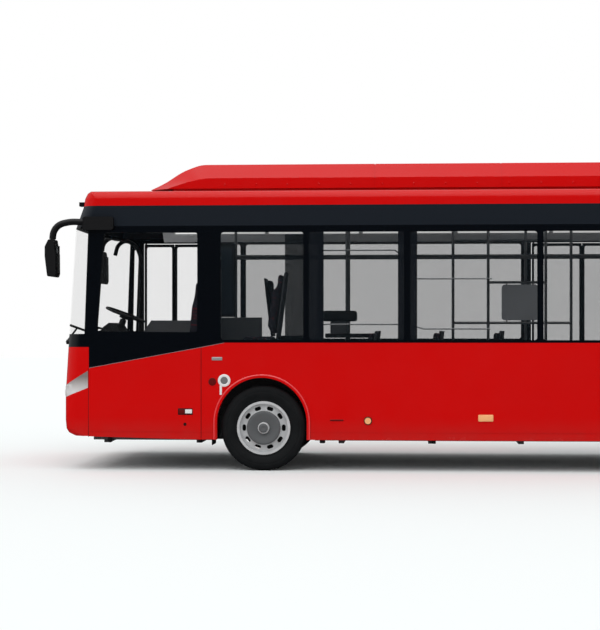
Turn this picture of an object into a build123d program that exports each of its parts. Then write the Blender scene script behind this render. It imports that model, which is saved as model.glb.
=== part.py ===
from build123d import *
from math import cos, radians, sin
import os

os.makedirs("parts", exist_ok=True)

# A twelve metre low-floor city bus. Millimetres. +Z is up, -Y is the front and +X is the left side.
# Places along the bus are stations: the distance back from a datum 80 mm behind the bumper's foremost
# point.

# ---- overall size ----
LENGTH = 11950.0          # station of the tail
HALF_WIDTH = 1275.0       # centre plane to the side panels' outer face
WALL = 60.0               # side, front and rear walls, outer skin to lining
SKIRT_Z = 350.0           # lower edge of the side panels
BELT_Z = 1435.0           # top of the red side panels
GLASS_LOW_Z = 1465.0      # lower edge of the side windows
GLASS_HIGH_Z = 2676.0     # upper edge of the side windows
BAND_TOP_Z = 2976.0       # top of the dark band over the windows
ROOF_Z = 3155.0           # top of the cant rails
FLOOR_Z = 400.0           # top of the low floor
FLOOR_THICK = 60.0
MIRROR_REACH = 204.0      # mirror heads, ahead of station 0
HINGE_REACH = 30.0        # hatch hinges, behind the tail

FRONT_Y = (MIRROR_REACH - LENGTH - HINGE_REACH) / 2      # Y of station 0
INNER_X = HALF_WIDTH - WALL
PAST = 50.0               # how far cutters run past a face
ACROSS = (-HALF_WIDTH - PAST, HALF_WIDTH + PAST)

# ---- axles and wheels ----
FRONT_AXLE = 2228.0       # station
WHEELBASE = 6200.0
REAR_AXLE = FRONT_AXLE + WHEELBASE
TYRE_R = 478.5
TYRE_WIDTH = 275.0
TYRE_OUTER_X = 1245.0
SEAT_R = 283.0            # rim barrel, where the beads seat
KINGPIN_X = 950.0
AXLE_TUBE_Z = 256.0       # middle of the dropped axle beams
ARCH_R = 505.0
ARCH_RISE = 60.0          # arch centre above the axle
LIP_WIDTH = 30.0
LIP_PROUD = 12.0
WHEEL_X = TYRE_OUTER_X - TYRE_WIDTH / 2
TWIN_PITCH = 310.0        # between the middles of twin tyres

# ---- front and rear ends, as (height, station of the foremost or rearmost point) ----
NOSE_BOW = 50.0
NOSE_DEPTH = 800.0        # how far back the lofted front is worked out
CORNER_R = 170.0
TAIL_BOW = 30.0
SEAM_FRONT = 256.0        # joint between the front panel and the sides
SEAM_REAR = 300.0         # the same at the rear, ahead of the tail
PILLAR_FOOT = 330.0       # joint between screen surround and side frame, at the belt
PILLAR_HEAD = 470.0       # the same at the top of the band
NOSE_FRONT = -80.0        # station of the bumper's foremost point
NOSE_LOW = [(383.0, 25.0), (415.0, -40.0), (460.0, -70.0), (560.0, NOSE_FRONT), (860.0, NOSE_FRONT),
            (BELT_Z - 50, -48.0)]
NOSE_HIGH = [(BELT_Z - 50, -48.0), (1530.0, -38.0), (2720.0, 38.0), (BAND_TOP_Z, 130.0)]
NOSE_ROOF = [(BAND_TOP_Z, 130.0), (3060.0, 142.0), (3120.0, 172.0), (3155.0, 222.0), (3185.0, 330.0)]
TAIL_BODY = [(400.0, 60.0), (500.0, 0.0), (BELT_Z, 0.0), (BAND_TOP_Z, 60.0)]
TAIL_ROOF = [(BAND_TOP_Z, 60.0), (3120.0, 90.0), (3185.0, 200.0)]

# ---- side windows and doors, as (first station, last station) ----
PILLAR = 66.0
BAY = 1408.0              # a standard window
FIRST_BAY = 3868.0
DRIVER_WINDOW = [(343.0, 1560.0), (1486.0, 1552.0), (1486.0, 2672.0), (428.0, 2672.0)]
SHORT_BAYS = [(1747.0, 2677.0), (2738.0, 3802.0)]
BAY_COUNT = int((LENGTH - 650 - FIRST_BAY + PILLAR) // (BAY + PILLAR))
FRONT_DOOR = (420.0, 1226.0)
CENTRE_DOOR = (FRONT_AXLE + 3172, FRONT_AXLE + 4462)
DOOR_HEAD_Z = 2690.0
GLASS = 8.0
GLASS_SINK = 8.0          # side glass behind the outer face


def at(station):
    """Y of a station."""
    return FRONT_Y + station


def block(x, s, z):
    """A block between (low, high) pairs of X, stations and Z."""
    middle = ((x[0] + x[1]) / 2, at((s[0] + s[1]) / 2), (z[0] + z[1]) / 2)
    return Pos(*middle) * Box(abs(x[1] - x[0]), abs(s[1] - s[0]), abs(z[1] - z[0]))


def side_face(outline, radius=0.0):
    """A polygon of (station, height) points as a face in the YZ plane, its corners rounded."""
    face = make_face(Polyline(*[(at(s), z) for s, z in outline], close=True))
    if radius > 0:
        face = fillet(face.vertices(), radius)
    return face


def side_plate(face, x_low, x_high):
    """A YZ face given its thickness between two X planes."""
    return extrude(Plane.YZ.offset(x_low) * face, amount=x_high - x_low)


def rod(start, end, radius):
    """A round bar between two points."""
    a, b = Vector(*start), Vector(*end)
    plane = Plane(origin=a, z_dir=(b - a).normalized())
    return plane * Cylinder(radius, (b - a).length, align=(Align.CENTER, Align.CENTER, Align.MIN))


def right_of(solid):
    """The mirrored twin on the right side."""
    return mirror(solid, about=Plane.YZ)


def save(node, *solids):
    """Write one node, from one solid or from several that don't touch."""
    found = [piece for solid in solids for piece in solid.solids()]
    shape = found[0] if len(found) == 1 else Compound(children=found)
    export_step(shape, f"parts/{node}.step")


# ---- shell ends: plan outlines lofted between heights ----

def nose_section(z, nose, inset, rear):
    """Plan outline at one height, open to the rear station: flat sides, round corners, bowed front."""
    half = HALF_WIDTH - inset
    side_y = at(nose + inset + NOSE_BOW)
    front = ThreePointArc((-half, side_y), (0, at(nose + inset)), (half, side_y))
    back = Polyline((half, side_y), (half, at(rear)), (-half, at(rear)), (-half, side_y))
    face = make_face([front, back])
    corners = [v for v in face.vertices() if abs(v.Y - side_y) < 1]
    return Pos(0, 0, z) * fillet(corners, CORNER_R - inset)


def tail_section(z, lean, inset, ahead):
    """The same for the rear end: lean is how far ahead of the tail it lies."""
    half = HALF_WIDTH - inset
    side_y = at(LENGTH - lean - inset - TAIL_BOW)
    rear = ThreePointArc((-half, side_y), (0, at(LENGTH - lean - inset)), (half, side_y))
    front = Polyline((half, side_y), (half, at(ahead)), (-half, at(ahead)), (-half, side_y))
    face = make_face([rear, front])
    corners = [v for v in face.vertices() if abs(v.Y - side_y) < 1]
    return Pos(0, 0, z) * fillet(corners, CORNER_R - inset)


def stack(section, heights, inset, edge, below=0.0, above=0.0):
    """Sections lofted one on another into one solid, run past its ends by below and above."""
    rows = list(heights)
    rows[0] = (rows[0][0] - below, rows[0][1])
    rows[-1] = (rows[-1][0] + above, rows[-1][1])
    faces = [section(z, place, inset, edge) for z, place in rows]
    layers = [loft([low, high], ruled=True) for low, high in zip(faces, faces[1:])]
    solid = layers[0]
    for layer in layers[1:]:
        solid = solid.fuse(layer)
    return solid


def shell(section, heights, thick, edge):
    """The wall between an end's outer skin and its lining, open above, below and towards the cabin."""
    outer = stack(section, heights, 0.0, edge)
    inner = stack(section, heights, thick, edge, 1.0, 1.0)
    return outer - inner


# ---- sides ----

FRONT_ARCH = FRONT_AXLE - 16.0
WINDOWS = SHORT_BAYS + [
    (FIRST_BAY + i * (BAY + PILLAR), FIRST_BAY + i * (BAY + PILLAR) + BAY) for i in range(BAY_COUNT)
]
SIDE_END = LENGTH - SEAM_REAR
BELT_RISE = [(SEAM_FRONT, 1151.0), (1530.0, 1385.0), (1790.0, BELT_Z)]      # the belt line, from the front
PILLAR_LINE = [(PILLAR_FOOT, 1385.0), (385.0, 2690.0), (PILLAR_HEAD, BAND_TOP_Z)]
LOWER_OUTLINE = [
    (SEAM_FRONT, SKIRT_Z + 30), *BELT_RISE, (SIDE_END, BELT_Z), (SIDE_END, SKIRT_Z + 60),
    (SIDE_END - 900, SKIRT_Z), (1400, SKIRT_Z),
]
FRAME_OUTLINE = [
    *BELT_RISE, (SIDE_END, BELT_Z), (SIDE_END, BAND_TOP_Z), *reversed(PILLAR_LINE), (SEAM_FRONT, 1385),
]
DOORS = [FRONT_DOOR, CENTRE_DOOR]
CREASE_Z = (428.0, 436.0)
PANEL_SEAM = (1528.0, 1533.0)
CREASE_DEEP = 4.0
PANEL_SEAM_DEEP = 5.0


def arch_face(station, radius):
    """A wheel opening: half a circle over straight sides, running out below the skirt."""
    top_z = TYRE_R + ARCH_RISE
    arc = ThreePointArc((at(station - radius), top_z), (at(station), top_z + radius),
                        (at(station + radius), top_z))
    legs = Polyline((at(station + radius), top_z), (at(station + radius), SKIRT_Z - 50),
                    (at(station - radius), SKIRT_Z - 50), (at(station - radius), top_z))
    return make_face([arc, legs])


def lower_side(doors):
    """Red side panel: arches with raised lips, a crease over the skirt, doorways."""
    panel = side_plate(side_face(LOWER_OUTLINE), INNER_X, HALF_WIDTH)
    below = block((0, HALF_WIDTH + PAST), (0, LENGTH), (0, SKIRT_Z))
    for station in (FRONT_ARCH, REAR_AXLE):
        lip = side_plate(arch_face(station, ARCH_R + LIP_WIDTH), HALF_WIDTH - PANEL_SEAM_DEEP,
                         HALF_WIDTH + LIP_PROUD)
        panel = panel + (lip - below)
        panel = panel - side_plate(arch_face(station, ARCH_R), INNER_X - PAST, HALF_WIDTH + PAST)
    for door in doors:
        panel = panel - block((INNER_X - PAST, HALF_WIDTH + PAST), door, (0, BELT_Z + PAST))
    crease = block((HALF_WIDTH - CREASE_DEEP, HALF_WIDTH + 1), (SEAM_FRONT, SIDE_END), CREASE_Z)
    seam = block((HALF_WIDTH - PANEL_SEAM_DEEP, HALF_WIDTH + 1), PANEL_SEAM, (0, BELT_Z))
    return panel - crease - seam


WINDOW_CORNER_R = 30.0
DOOR_PILLAR = 60.0        # between the front door and the first window


def window_face(first, last):
    return side_face([(first, GLASS_LOW_Z), (last, GLASS_LOW_Z), (last, GLASS_HIGH_Z), (first, GLASS_HIGH_Z)],
                     WINDOW_CORNER_R)


def side_windows(doors, driver):
    """Faces of the windows that stay where the doors leave room, the foremost first."""
    behind_door = window_face(FRONT_DOOR[1] + DOOR_PILLAR, SHORT_BAYS[0][0] - PILLAR)
    faces = [side_face(DRIVER_WINDOW, WINDOW_CORNER_R) if driver else behind_door]
    for first, last in WINDOWS:
        if all(last < start or first > end for start, end in doors):
            faces.append(window_face(first, last))
    return faces


def window_frame(doors, driver):
    """Dark pillars with the band over them, cut by the windows and doorways."""
    frame = side_plate(side_face(FRAME_OUTLINE), INNER_X, HALF_WIDTH)
    cuts = [side_plate(face, INNER_X - PAST, HALF_WIDTH + PAST) for face in side_windows(doors, driver)]
    cuts += [block((INNER_X - PAST, HALF_WIDTH + PAST), door, (0, DOOR_HEAD_Z)) for door in doors]
    return frame - cuts


def side_glass(doors, driver):
    """The panes, each filling its opening."""
    outer = HALF_WIDTH - GLASS_SINK
    return [side_plate(face, outer - GLASS, outer) for face in side_windows(doors, driver)]


# ---- front end ----

LAMP_SIDE = [(245, 1118), (-20, 955), (-200, 940), (-200, 800), (-60, 806), (245, 926)]
LAMP_INNER_X = 730.0
SCREEN_SIDE = [(-200, 1530), (206, 1530), (250, 2720), (-200, 2720)]
SCREEN_THICK = 10.0
GRILLE_Z = (500.0, 640.0)
GRILLE_X = 620.0
SLATS = 5


QUARTER_LIGHT = [(276, 1560), (322, 1560), (360, 2610), (296, 2610)]     # ahead of the front door


def front_solids():
    """Front panel, headlamps, screen surround and windscreen, from one pair of shells."""
    low = shell(nose_section, NOSE_LOW, WALL, NOSE_DEPTH)
    low = low & block(ACROSS, (NOSE_FRONT - PAST, SEAM_FRONT), (0, ROOF_Z))
    lamp_cut = side_plate(side_face(LAMP_SIDE), *ACROSS)
    lamp_cut = lamp_cut - block((-LAMP_INNER_X, LAMP_INNER_X), (-400, 400), (700, 1200))
    lamps = low & lamp_cut
    lining = NOSE_FRONT + WALL
    panel = low - [lamp_cut, block((-GRILLE_X, GRILLE_X), (-400, lining + NOSE_BOW + PAST), GRILLE_Z)]
    pitch = (GRILLE_Z[1] - GRILLE_Z[0]) / SLATS
    middles = [GRILLE_Z[0] + (i + 0.5) * pitch for i in range(SLATS)]
    panel = panel + [block((-GRILLE_X, GRILLE_X), (lining - 30, lining), (z - 6, z + 6)) for z in middles]

    surround = shell(nose_section, NOSE_HIGH, WALL, NOSE_DEPTH)
    trim = side_face([(-400, 1385), *PILLAR_LINE, (-400, BAND_TOP_Z)])
    opening = side_plate(side_face(SCREEN_SIDE), *ACROSS)
    quarter = side_face(QUARTER_LIGHT, 12)
    surround = surround & side_plate(trim, *ACROSS)
    surround = surround - [opening, side_plate(quarter, ACROSS[0], -INNER_X + PAST)]
    screen = shell(nose_section, NOSE_HIGH, SCREEN_THICK, NOSE_DEPTH) & opening
    light = side_plate(quarter, -HALF_WIDTH + GLASS_SINK, -HALF_WIDTH + GLASS_SINK + GLASS)
    return panel, lamps, surround, [screen, light]


# ---- rear end ----

HATCH_X = 850.0
HATCH_Z = (560.0, 1350.0)
HATCH_GAP = 8.0
REAR_WINDOW_X = 1000.0
REAR_WINDOW_Z = (1620.0, 2600.0)
TAIL_LAMP_X = (1030.0, 1330.0)
TAIL_LAMP_Z = (820.0, 1320.0)
LOUVRES = 6
LOUVRE_X = 600.0
LOUVRE_Z = 900.0          # the lowest
LOUVRE_PITCH = 60.0
LOUVRE_HALF = 12.0
HINGE_R = 8.0
HINGE_WALL = 8.0
HINGE_X = (-600.0, 600.0)
HINGE_EYE = 25.0          # half the length of the hatch's eye
HINGE_EARS = (32.0, 50.0)
HINGE_Y = LENGTH + HINGE_REACH - HINGE_R - HINGE_WALL
HINGE_Z = HATCH_Z[1] - 4.0
RUNNING = 0.05            # radial clearance of pins and shafts


def hinge_parts(x):
    """At one hinge: the hatch's eye on its strap, the wall's two ears with the pin, and the notch."""
    y, top = at(HINGE_Y), HATCH_Z[1]
    pin = rod((x - HINGE_EARS[1], y, HINGE_Z), (x + HINGE_EARS[1], y, HINGE_Z), HINGE_R)
    eye = rod((x - HINGE_EYE, y, HINGE_Z), (x + HINGE_EYE, y, HINGE_Z), HINGE_R + HINGE_WALL)
    strap = block((x - HINGE_EYE, x + HINGE_EYE), (LENGTH - 30, HINGE_Y), (top - 70, HINGE_Z - 2))
    ears = [pin]
    for side in (-1, 1):
        near, far = (x + side * reach for reach in HINGE_EARS)
        ears.append(block((near, far), (LENGTH - 40, HINGE_Y), (top + 1, top + 30)))
        ears.append(rod((near, y, HINGE_Z), (far, y, HINGE_Z), HINGE_R + 6))
    notch = block((x - HINGE_EARS[0], x + HINGE_EARS[0]), (LENGTH - 20, LENGTH + PAST), (top - 5, top + 26))
    return [eye, strap], ears, notch


def rear_solids():
    """Rear wall, its window, lamps and the engine hatch with its hinges."""
    ahead, behind = LENGTH - SEAM_REAR, LENGTH + PAST
    wall = shell(tail_section, TAIL_BODY, WALL, ahead)
    pane_box = block((-REAR_WINDOW_X, REAR_WINDOW_X), (ahead, behind), REAR_WINDOW_Z)
    pane_box = fillet(pane_box.edges().filter_by(Axis.Y), 60)
    pane = shell(tail_section, TAIL_BODY, GLASS, ahead) & pane_box
    lamp_box = block(TAIL_LAMP_X, (LENGTH - 190, behind), TAIL_LAMP_Z)
    lamp_boxes = lamp_box + right_of(lamp_box)
    lamps = wall & lamp_boxes
    opening = block((-HATCH_X, HATCH_X), (ahead, behind), HATCH_Z)
    hatch = wall & block((-HATCH_X + HATCH_GAP, HATCH_X - HATCH_GAP), (ahead, behind),
                         (HATCH_Z[0] + HATCH_GAP, HATCH_Z[1] - HATCH_GAP))
    louvres = [LOUVRE_Z + LOUVRE_PITCH * i for i in range(LOUVRES)]
    hatch = hatch - [block((-LOUVRE_X, LOUVRE_X), (LENGTH - 12, behind), (z - LOUVRE_HALF, z + LOUVRE_HALF))
                     for z in louvres]
    wall = wall - [pane_box, lamp_boxes, opening]
    for x in HINGE_X:
        eye, ears, notch = hinge_parts(x)
        bore = rod((x - 60, at(HINGE_Y), HINGE_Z), (x + 60, at(HINGE_Y), HINGE_Z), HINGE_R + RUNNING)
        hatch = hatch + eye - bore
        wall = wall - notch + ears
    return wall, pane, lamps, hatch


# ---- roof ----

CANT_R = 95.0
LINING_R = 55.0           # the cant rail's corner inside
ROOF_CROWN = 12.0         # rise of the roof's middle over ROOF_Z, and fall of its edges below it
ROOF_THICK = 50.0
POD_TAIL = LENGTH - 700.0
POD_LOW_Z = 3198.0
POD_HALF = 895.0
POD_SHOULDER_X = 730.0    # inner edge of the wide chamfer
POD_EDGE_Z = 3318.0       # its outer, lower edge
POD_TOP_Z = 3488.0        # its inner, upper edge
POD_CROWN_Z = 3503.0
POD_NOSE_TOP = [
    (865.0, POD_LOW_Z), (1047.0, 3286.0), (1241.0, 3406.0), (1386.0, 3464.0), (1530.0, POD_TOP_Z),
]
POD_NOSE_EDGE = [
    (1085.0, POD_LOW_Z), (1190.0, 3234.0), (1310.0, 3270.0), (1440.0, 3300.0), (1590.0, POD_EDGE_Z),
]
POD_SEAM = 1440.0         # length of each cover
POD_SEAM_FIRST = 3460.0
SEAM_WIDTH = 10.0
SEAM_DEEP = 6.0
POD_SLOPE = 500.0         # length of the covers' sloping tail
POD_LAST = 600.0          # the last cover is at least so long
POD_EDGE_FALL = 70.0      # their fall over it, at the edge
POD_TOP_FALL = 210.0      # and at the shoulder
PLINTH_IN = 60.0          # plinth, in from the covers' edge


def along(points, radius_at=None, radius=0.0):
    """A face in the XZ plane from (x, z) points, with some corners rounded."""
    face = make_face(Polyline(*points, close=True))
    if radius_at:
        picked = [v for v in face.vertices()
                  if any(abs(v.X - x) < 1 and abs(v.Y - z) < 1 for x, z in radius_at)]
        face = fillet(picked, radius)
    return face


def run(face, first, last):
    """An (x, z) face carried from one station to another."""
    plane = Plane(origin=(0, at(first), 0), x_dir=(1, 0, 0), z_dir=(0, -1, 0))
    return extrude(plane * face, amount=-(last - first))


def roof_outline(half, low_z, top_z, radius):
    """The crowned roof as an (x, z) face, its upper corners rounded."""
    edge_z, crown_z = top_z - ROOF_CROWN, top_z + ROOF_CROWN
    corners = [(half, edge_z), (-half, edge_z)]
    return along([(-half, low_z), (half, low_z), corners[0], (0, crown_z), corners[1]], corners, radius)


def roof_bar():
    """The whole roof outline as one solid bar."""
    return run(roof_outline(HALF_WIDTH, BAND_TOP_Z, ROOF_Z, CANT_R), 0, LENGTH)


def roof_shell():
    """Crowned roof skin with its rounded cant rails and swept ends, hollow below."""
    ends = stack(nose_section, NOSE_ROOF, 0.0, LENGTH / 2) + stack(tail_section, TAIL_ROOF, 0.0, LENGTH / 2)
    lined = WALL + 40
    hollow = run(roof_outline(INNER_X, BAND_TOP_Z - PAST, ROOF_Z - ROOF_THICK, LINING_R),
                 NOSE_ROOF[0][1] + lined, LENGTH - TAIL_ROOF[0][1] - lined)
    return (roof_bar() & ends) - hollow


def pod_profile(x, nose, fall, rise, inset):
    """Side outline of the fairing in the plane at x: swept nose, level top, sloping tail."""
    points = [(at(s + inset), z + rise - inset) for s, z in nose]
    points[0] = (points[0][0], POD_LOW_Z)
    top_z = points[-1][1]
    sweep_up = Spline(points, tangents=[(1, 0.45), (1, 0)])
    tail = Polyline(points[-1], (at(POD_TAIL - POD_SLOPE), top_z), (at(POD_TAIL - inset), top_z - fall),
                    (at(POD_TAIL - inset), POD_LOW_Z), points[0])
    return Plane.YZ.offset(x) * make_face([sweep_up, tail])


def pod_body(inset):
    """The fairing's covers, lofted across the bus from edge to shoulder to crown."""
    half, crown = POD_HALF - inset, POD_CROWN_Z - POD_TOP_Z
    edges = [      # x, nose, fall of the tail, rise of the crown
        (-half, POD_NOSE_EDGE, POD_EDGE_FALL, 0), (-POD_SHOULDER_X, POD_NOSE_TOP, POD_TOP_FALL, 0),
        (0, POD_NOSE_TOP, POD_TOP_FALL, crown),
        (POD_SHOULDER_X, POD_NOSE_TOP, POD_TOP_FALL, 0), (half, POD_NOSE_EDGE, POD_EDGE_FALL, 0),
    ]
    return loft([pod_profile(*edge, inset) for edge in edges], ruled=True)


def roof_pod():
    """Long fairing of bolted covers: upright edge, wide chamfer, crowned top, on a set-in plinth."""
    body, core = pod_body(0), pod_body(SEAM_DEEP)
    station = POD_SEAM_FIRST
    while station < POD_TAIL - POD_LAST:
        slot = block((-POD_HALF, POD_HALF), (station, station + SEAM_WIDTH), (POD_LOW_Z, POD_CROWN_Z + PAST))
        body = body - (slot - core)
        station += POD_SEAM
    plinth = block((-POD_HALF + PLINTH_IN, POD_HALF - PLINTH_IN),
                   (POD_NOSE_EDGE[0][0] + PLINTH_IN, POD_TAIL - 100), (ROOF_Z - PLINTH_IN, POD_LOW_Z))
    return body + (plinth - roof_bar())


# ---- floor, wheel boxes and what stands on them ----

BOX_WALL = 10.0
BOX_INNER_X = 634.0
FRONT_BOX_HALF = 585.0
REAR_BOX_HALF = 530.0
BOX_TOP_Z = 1062.0
BOX_SHOULDER = (200.0, 260.0)      # its sloping shoulders, along the bus and down
STEP_START = REAR_AXLE + 592.0     # the raised rear floor over the motor
REAR_FLOOR_Z = 800.0
REAR_FLOOR_THICK = 40.0
RISER = 30.0              # thickness of the step's riser
DECK_END = LENGTH - 210.0
LEG = 60.0                # width of the legs under the rear floor
FLOOR_START = 300.0       # station where the floor starts
FLOOR_LOW_Z = FLOOR_Z - FLOOR_THICK
SILL_GAP = 6.0
RAIL_X = 480.0
RAIL_WIDTH = 90.0
RAIL_LOW_Z = 300.0
CROSS_LOW_Z = 310.0
CROSS_HALF = 30.0
FRAME_END = LENGTH - 260.0
CROSS_MEMBERS = [
    450.0, 1500.0, 3100.0, 4100.0, CENTRE_DOOR[0] - 300, CENTRE_DOOR[0] + 700, CENTRE_DOOR[1] + 410,
    STEP_START + 80, STEP_START + 1380, FRAME_END - 50,
]
TOW_FRONT = 240.0
TOW_REAR = LENGTH - 240.0
TOW_Z = (280.0, 330.0)
TOW_EYE_R = 20.0
TOW_LUG_R = 60.0


def box_face(station, half, inset):
    """Side outline of a wheel box, with sloping shoulders."""
    wide, high, low = half - inset, BOX_TOP_Z - inset, FLOOR_LOW_Z
    over, down = BOX_SHOULDER
    return side_face([(station - wide, low), (station - wide, high - down), (station - wide + over, high),
                      (station + wide - over, high), (station + wide, high - down), (station + wide, low)])


def wheel_boxes():
    """Housings over the wheels, open outwards and below, closed towards the cabin."""
    solids = []
    for station, half in ((FRONT_AXLE, FRONT_BOX_HALF), (REAR_AXLE, REAR_BOX_HALF)):
        skin = side_plate(box_face(station, half, 0), BOX_INNER_X - BOX_WALL, INNER_X)
        room = side_plate(box_face(station, half, BOX_WALL), BOX_INNER_X, INNER_X + PAST)
        solid = skin - room
        solids += [solid, right_of(solid)]
    return solids


def boards():
    """Floor boards between the walls: a middle board, side boards between the wheel boxes, door sills."""
    z = (FLOOR_LOW_Z, FLOOR_Z)
    well_x = BOX_INNER_X - BOX_WALL
    solids = [block((-well_x, well_x), (FLOOR_START, STEP_START), z)]
    stops = [FLOOR_START, FRONT_AXLE - FRONT_BOX_HALF, FRONT_AXLE + FRONT_BOX_HALF,
             REAR_AXLE - REAR_BOX_HALF, REAR_AXLE + REAR_BOX_HALF, STEP_START]
    for first, last in zip(stops[::2], stops[1::2]):
        side = block((well_x, INNER_X), (first, last), z)
        solids += [side, right_of(side)]
    for first, last in DOORS:
        solids.append(block((-HALF_WIDTH, -INNER_X), (first + SILL_GAP, last - SILL_GAP), z))
    for first, last, aft in LEAVES:
        socket = Pos(*leaf_pivot(first, last, aft), FLOOR_Z) * Cylinder(POST_R + RUNNING, 50)
        solids = [board - socket for board in solids]
    riser = block((-INNER_X, INNER_X), (STEP_START, STEP_START + RISER), (FLOOR_LOW_Z, REAR_FLOOR_Z))
    deck = block((-INNER_X, INNER_X), (STEP_START + RISER, DECK_END),
                 (REAR_FLOOR_Z - REAR_FLOOR_THICK, REAR_FLOOR_Z))
    return solids + [riser, deck]


def ladder():
    """Two flat rails over the dropped axles, joined by cross members out to the walls, with tow lugs."""
    member = block((-INNER_X, INNER_X), (-CROSS_HALF, CROSS_HALF), (CROSS_LOW_Z, FLOOR_LOW_Z))
    rail = block((RAIL_X - RAIL_WIDTH / 2, RAIL_X + RAIL_WIDTH / 2), (FLOOR_START, FRAME_END),
                 (RAIL_LOW_Z, FLOOR_LOW_Z))
    frame = rail + [Pos(0, station, 0) * member for station in CROSS_MEMBERS]
    frame = frame + right_of(rail)
    for eye, root in ((TOW_FRONT, CROSS_MEMBERS[0]), (TOW_REAR, CROSS_MEMBERS[-1])):
        lug = block((-TOW_LUG_R, TOW_LUG_R), (eye, root), TOW_Z)
        middle, thick = Pos(0, at(eye), sum(TOW_Z) / 2), TOW_Z[1] - TOW_Z[0]
        frame = frame + lug + middle * Cylinder(TOW_LUG_R, thick) - middle * Cylinder(TOW_EYE_R, 2 * thick)
    return frame


def underframe():
    """The ladder, with bearers for the motor and legs up to the raised rear floor."""
    solids = [ladder()]
    bearer = block((RAIL_X - RAIL_WIDTH / 2, RAIL_X + RAIL_WIDTH / 2), (STEP_START + RISER, FRAME_END),
                   (FLOOR_LOW_Z, FLOOR_Z))
    solids += [bearer, right_of(bearer)]
    for station in (CROSS_MEMBERS[-2], CROSS_MEMBERS[-1]):
        leg = block((INNER_X - LEG, INNER_X), (station - CROSS_HALF, station + CROSS_HALF),
                    (FLOOR_LOW_Z, REAR_FLOOR_Z - REAR_FLOOR_THICK))
        solids += [leg, right_of(leg)]
    return solids


# ---- door leaves ----

LEAF_OUT = 6.0            # leaf face behind the side panel
LEAF_THICK = 44.0
LEAF_GAP = 12.0           # leaf edge to door jamb
MEET_GAP = 8.0            # between two closed leaves
LEAF_Z = (412.0, 2680.0)
LEAF_RIM = 27.0
LEAF_HEAD = 35.0          # rim over the pane
LEAF_FOOT = 110.0         # kick board under it
LEAF_CORNER_R = 12.0
LEAF_PANE_R = 25.0
WAIST_Z = (1395.0, 1425.0)
GRAB_OUT = 40.0           # grab rail, in from the leaf
GRAB_R = 14.0
GRAB_IN = 90.0            # and in from the free edge
GRAB_Z = (490.0, 1410.0)
POST_R = 12.0
POST_IN = 20.0            # post, in from the leaf's edge
POST_REACH = 20.0         # its ends, into the floor, the header and the leaf
POST_X = HALF_WIDTH - 36.0


def leaf_pairs():
    pairs = []
    for first, last in DOORS:
        middle = (first + last) / 2
        pairs.append((first + LEAF_GAP, middle - MEET_GAP / 2, False))
        pairs.append((middle + MEET_GAP / 2, last - LEAF_GAP, True))
    return pairs


LEAVES = leaf_pairs()
LEAF_NAMES = ["front_door_fore", "front_door_aft", "centre_door_fore", "centre_door_aft"]


def leaf_pivot(first, last, aft):
    """X and Y of a leaf's turning post, on the right side."""
    return (-POST_X, at(last - POST_IN if aft else first + POST_IN))


def door_leaf(first, last, aft):
    """A glazed leaf: slim rounded frame with its pane, a waist bar, a grab rail and turning posts."""
    outer_x, inner_x = -HALF_WIDTH + LEAF_OUT, -HALF_WIDTH + LEAF_OUT + LEAF_THICK
    leaf = block((outer_x, inner_x), (first, last), LEAF_Z)
    leaf = fillet(leaf.edges().filter_by(Axis.Z), LEAF_CORNER_R)
    low, high = LEAF_Z[0] + LEAF_FOOT, LEAF_Z[1] - LEAF_HEAD
    face = side_face([(first + LEAF_RIM, low), (last - LEAF_RIM, low), (last - LEAF_RIM, high),
                      (first + LEAF_RIM, high)], LEAF_PANE_R)
    pane = side_plate(face, outer_x + GLASS_SINK, outer_x + GLASS_SINK + GLASS)
    solid = leaf - side_plate(face, outer_x - PAST, inner_x + PAST)
    solid = solid + (block((outer_x, inner_x), (first + 10, last - 10), WAIST_Z) - pane)
    x, y = leaf_pivot(first, last, aft)
    solid = solid + rod((x, y, FLOOR_Z - POST_REACH), (x, y, LEAF_Z[0] + POST_REACH), POST_R)
    solid = solid + rod((x, y, LEAF_Z[1] - POST_REACH), (x, y, DOOR_HEAD_Z + POST_REACH), POST_R)
    bar_x, bar_y = inner_x + GRAB_OUT, at(first + GRAB_IN if aft else last - GRAB_IN)
    solid = solid + rod((bar_x, bar_y, GRAB_Z[0] - GRAB_R), (bar_x, bar_y, GRAB_Z[1] + GRAB_R), GRAB_R)
    for z in GRAB_Z:
        solid = solid + rod((inner_x - 10, bar_y, z), (bar_x, bar_y, z), GRAB_R - 2)
    return solid, pane


# ---- running gear ----

STUB_R = 45.0
KINGPIN_R = 25.0
EYE_R = 60.0              # the axle's eye round the kingpin
EYE_HALF = 50.0
EAR_GAP = 5.5             # between the eye and the knuckle's ears
EAR_THICK = 28.0
EAR_R = 45.0
UPRIGHT_X = (1016.0, 1042.0)
STUB_END = 1165.0
HUB_INNER_X = 1050.0
HUB_R = 110.0
BORE_END = 8.0            # how far a hub's bore runs past its stub
RIM_IN_R = 272.0
FLANGE_R = 300.0
FLANGE = 10.0             # its thickness
RIM_HALF = 116.0
BOLT_DISC_R = 172.0
HAND_HOLES = 10
HAND_HOLE = (74.0, 43.2)  # length round the wheel and width
HAND_CIRCLE_R = 223.0
TREAD_HALF = TYRE_WIDTH / 2 - 34
SHOULDER = (TYRE_WIDTH / 2 - 14, TYRE_R - 28)
BULGE_R = 385.0           # where the tyre is widest


def turned(points):
    """A solid turned about the X axis from (x, radius) points."""
    return revolve(make_face(Polyline(*points, close=True)), axis=Axis.X)


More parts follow.
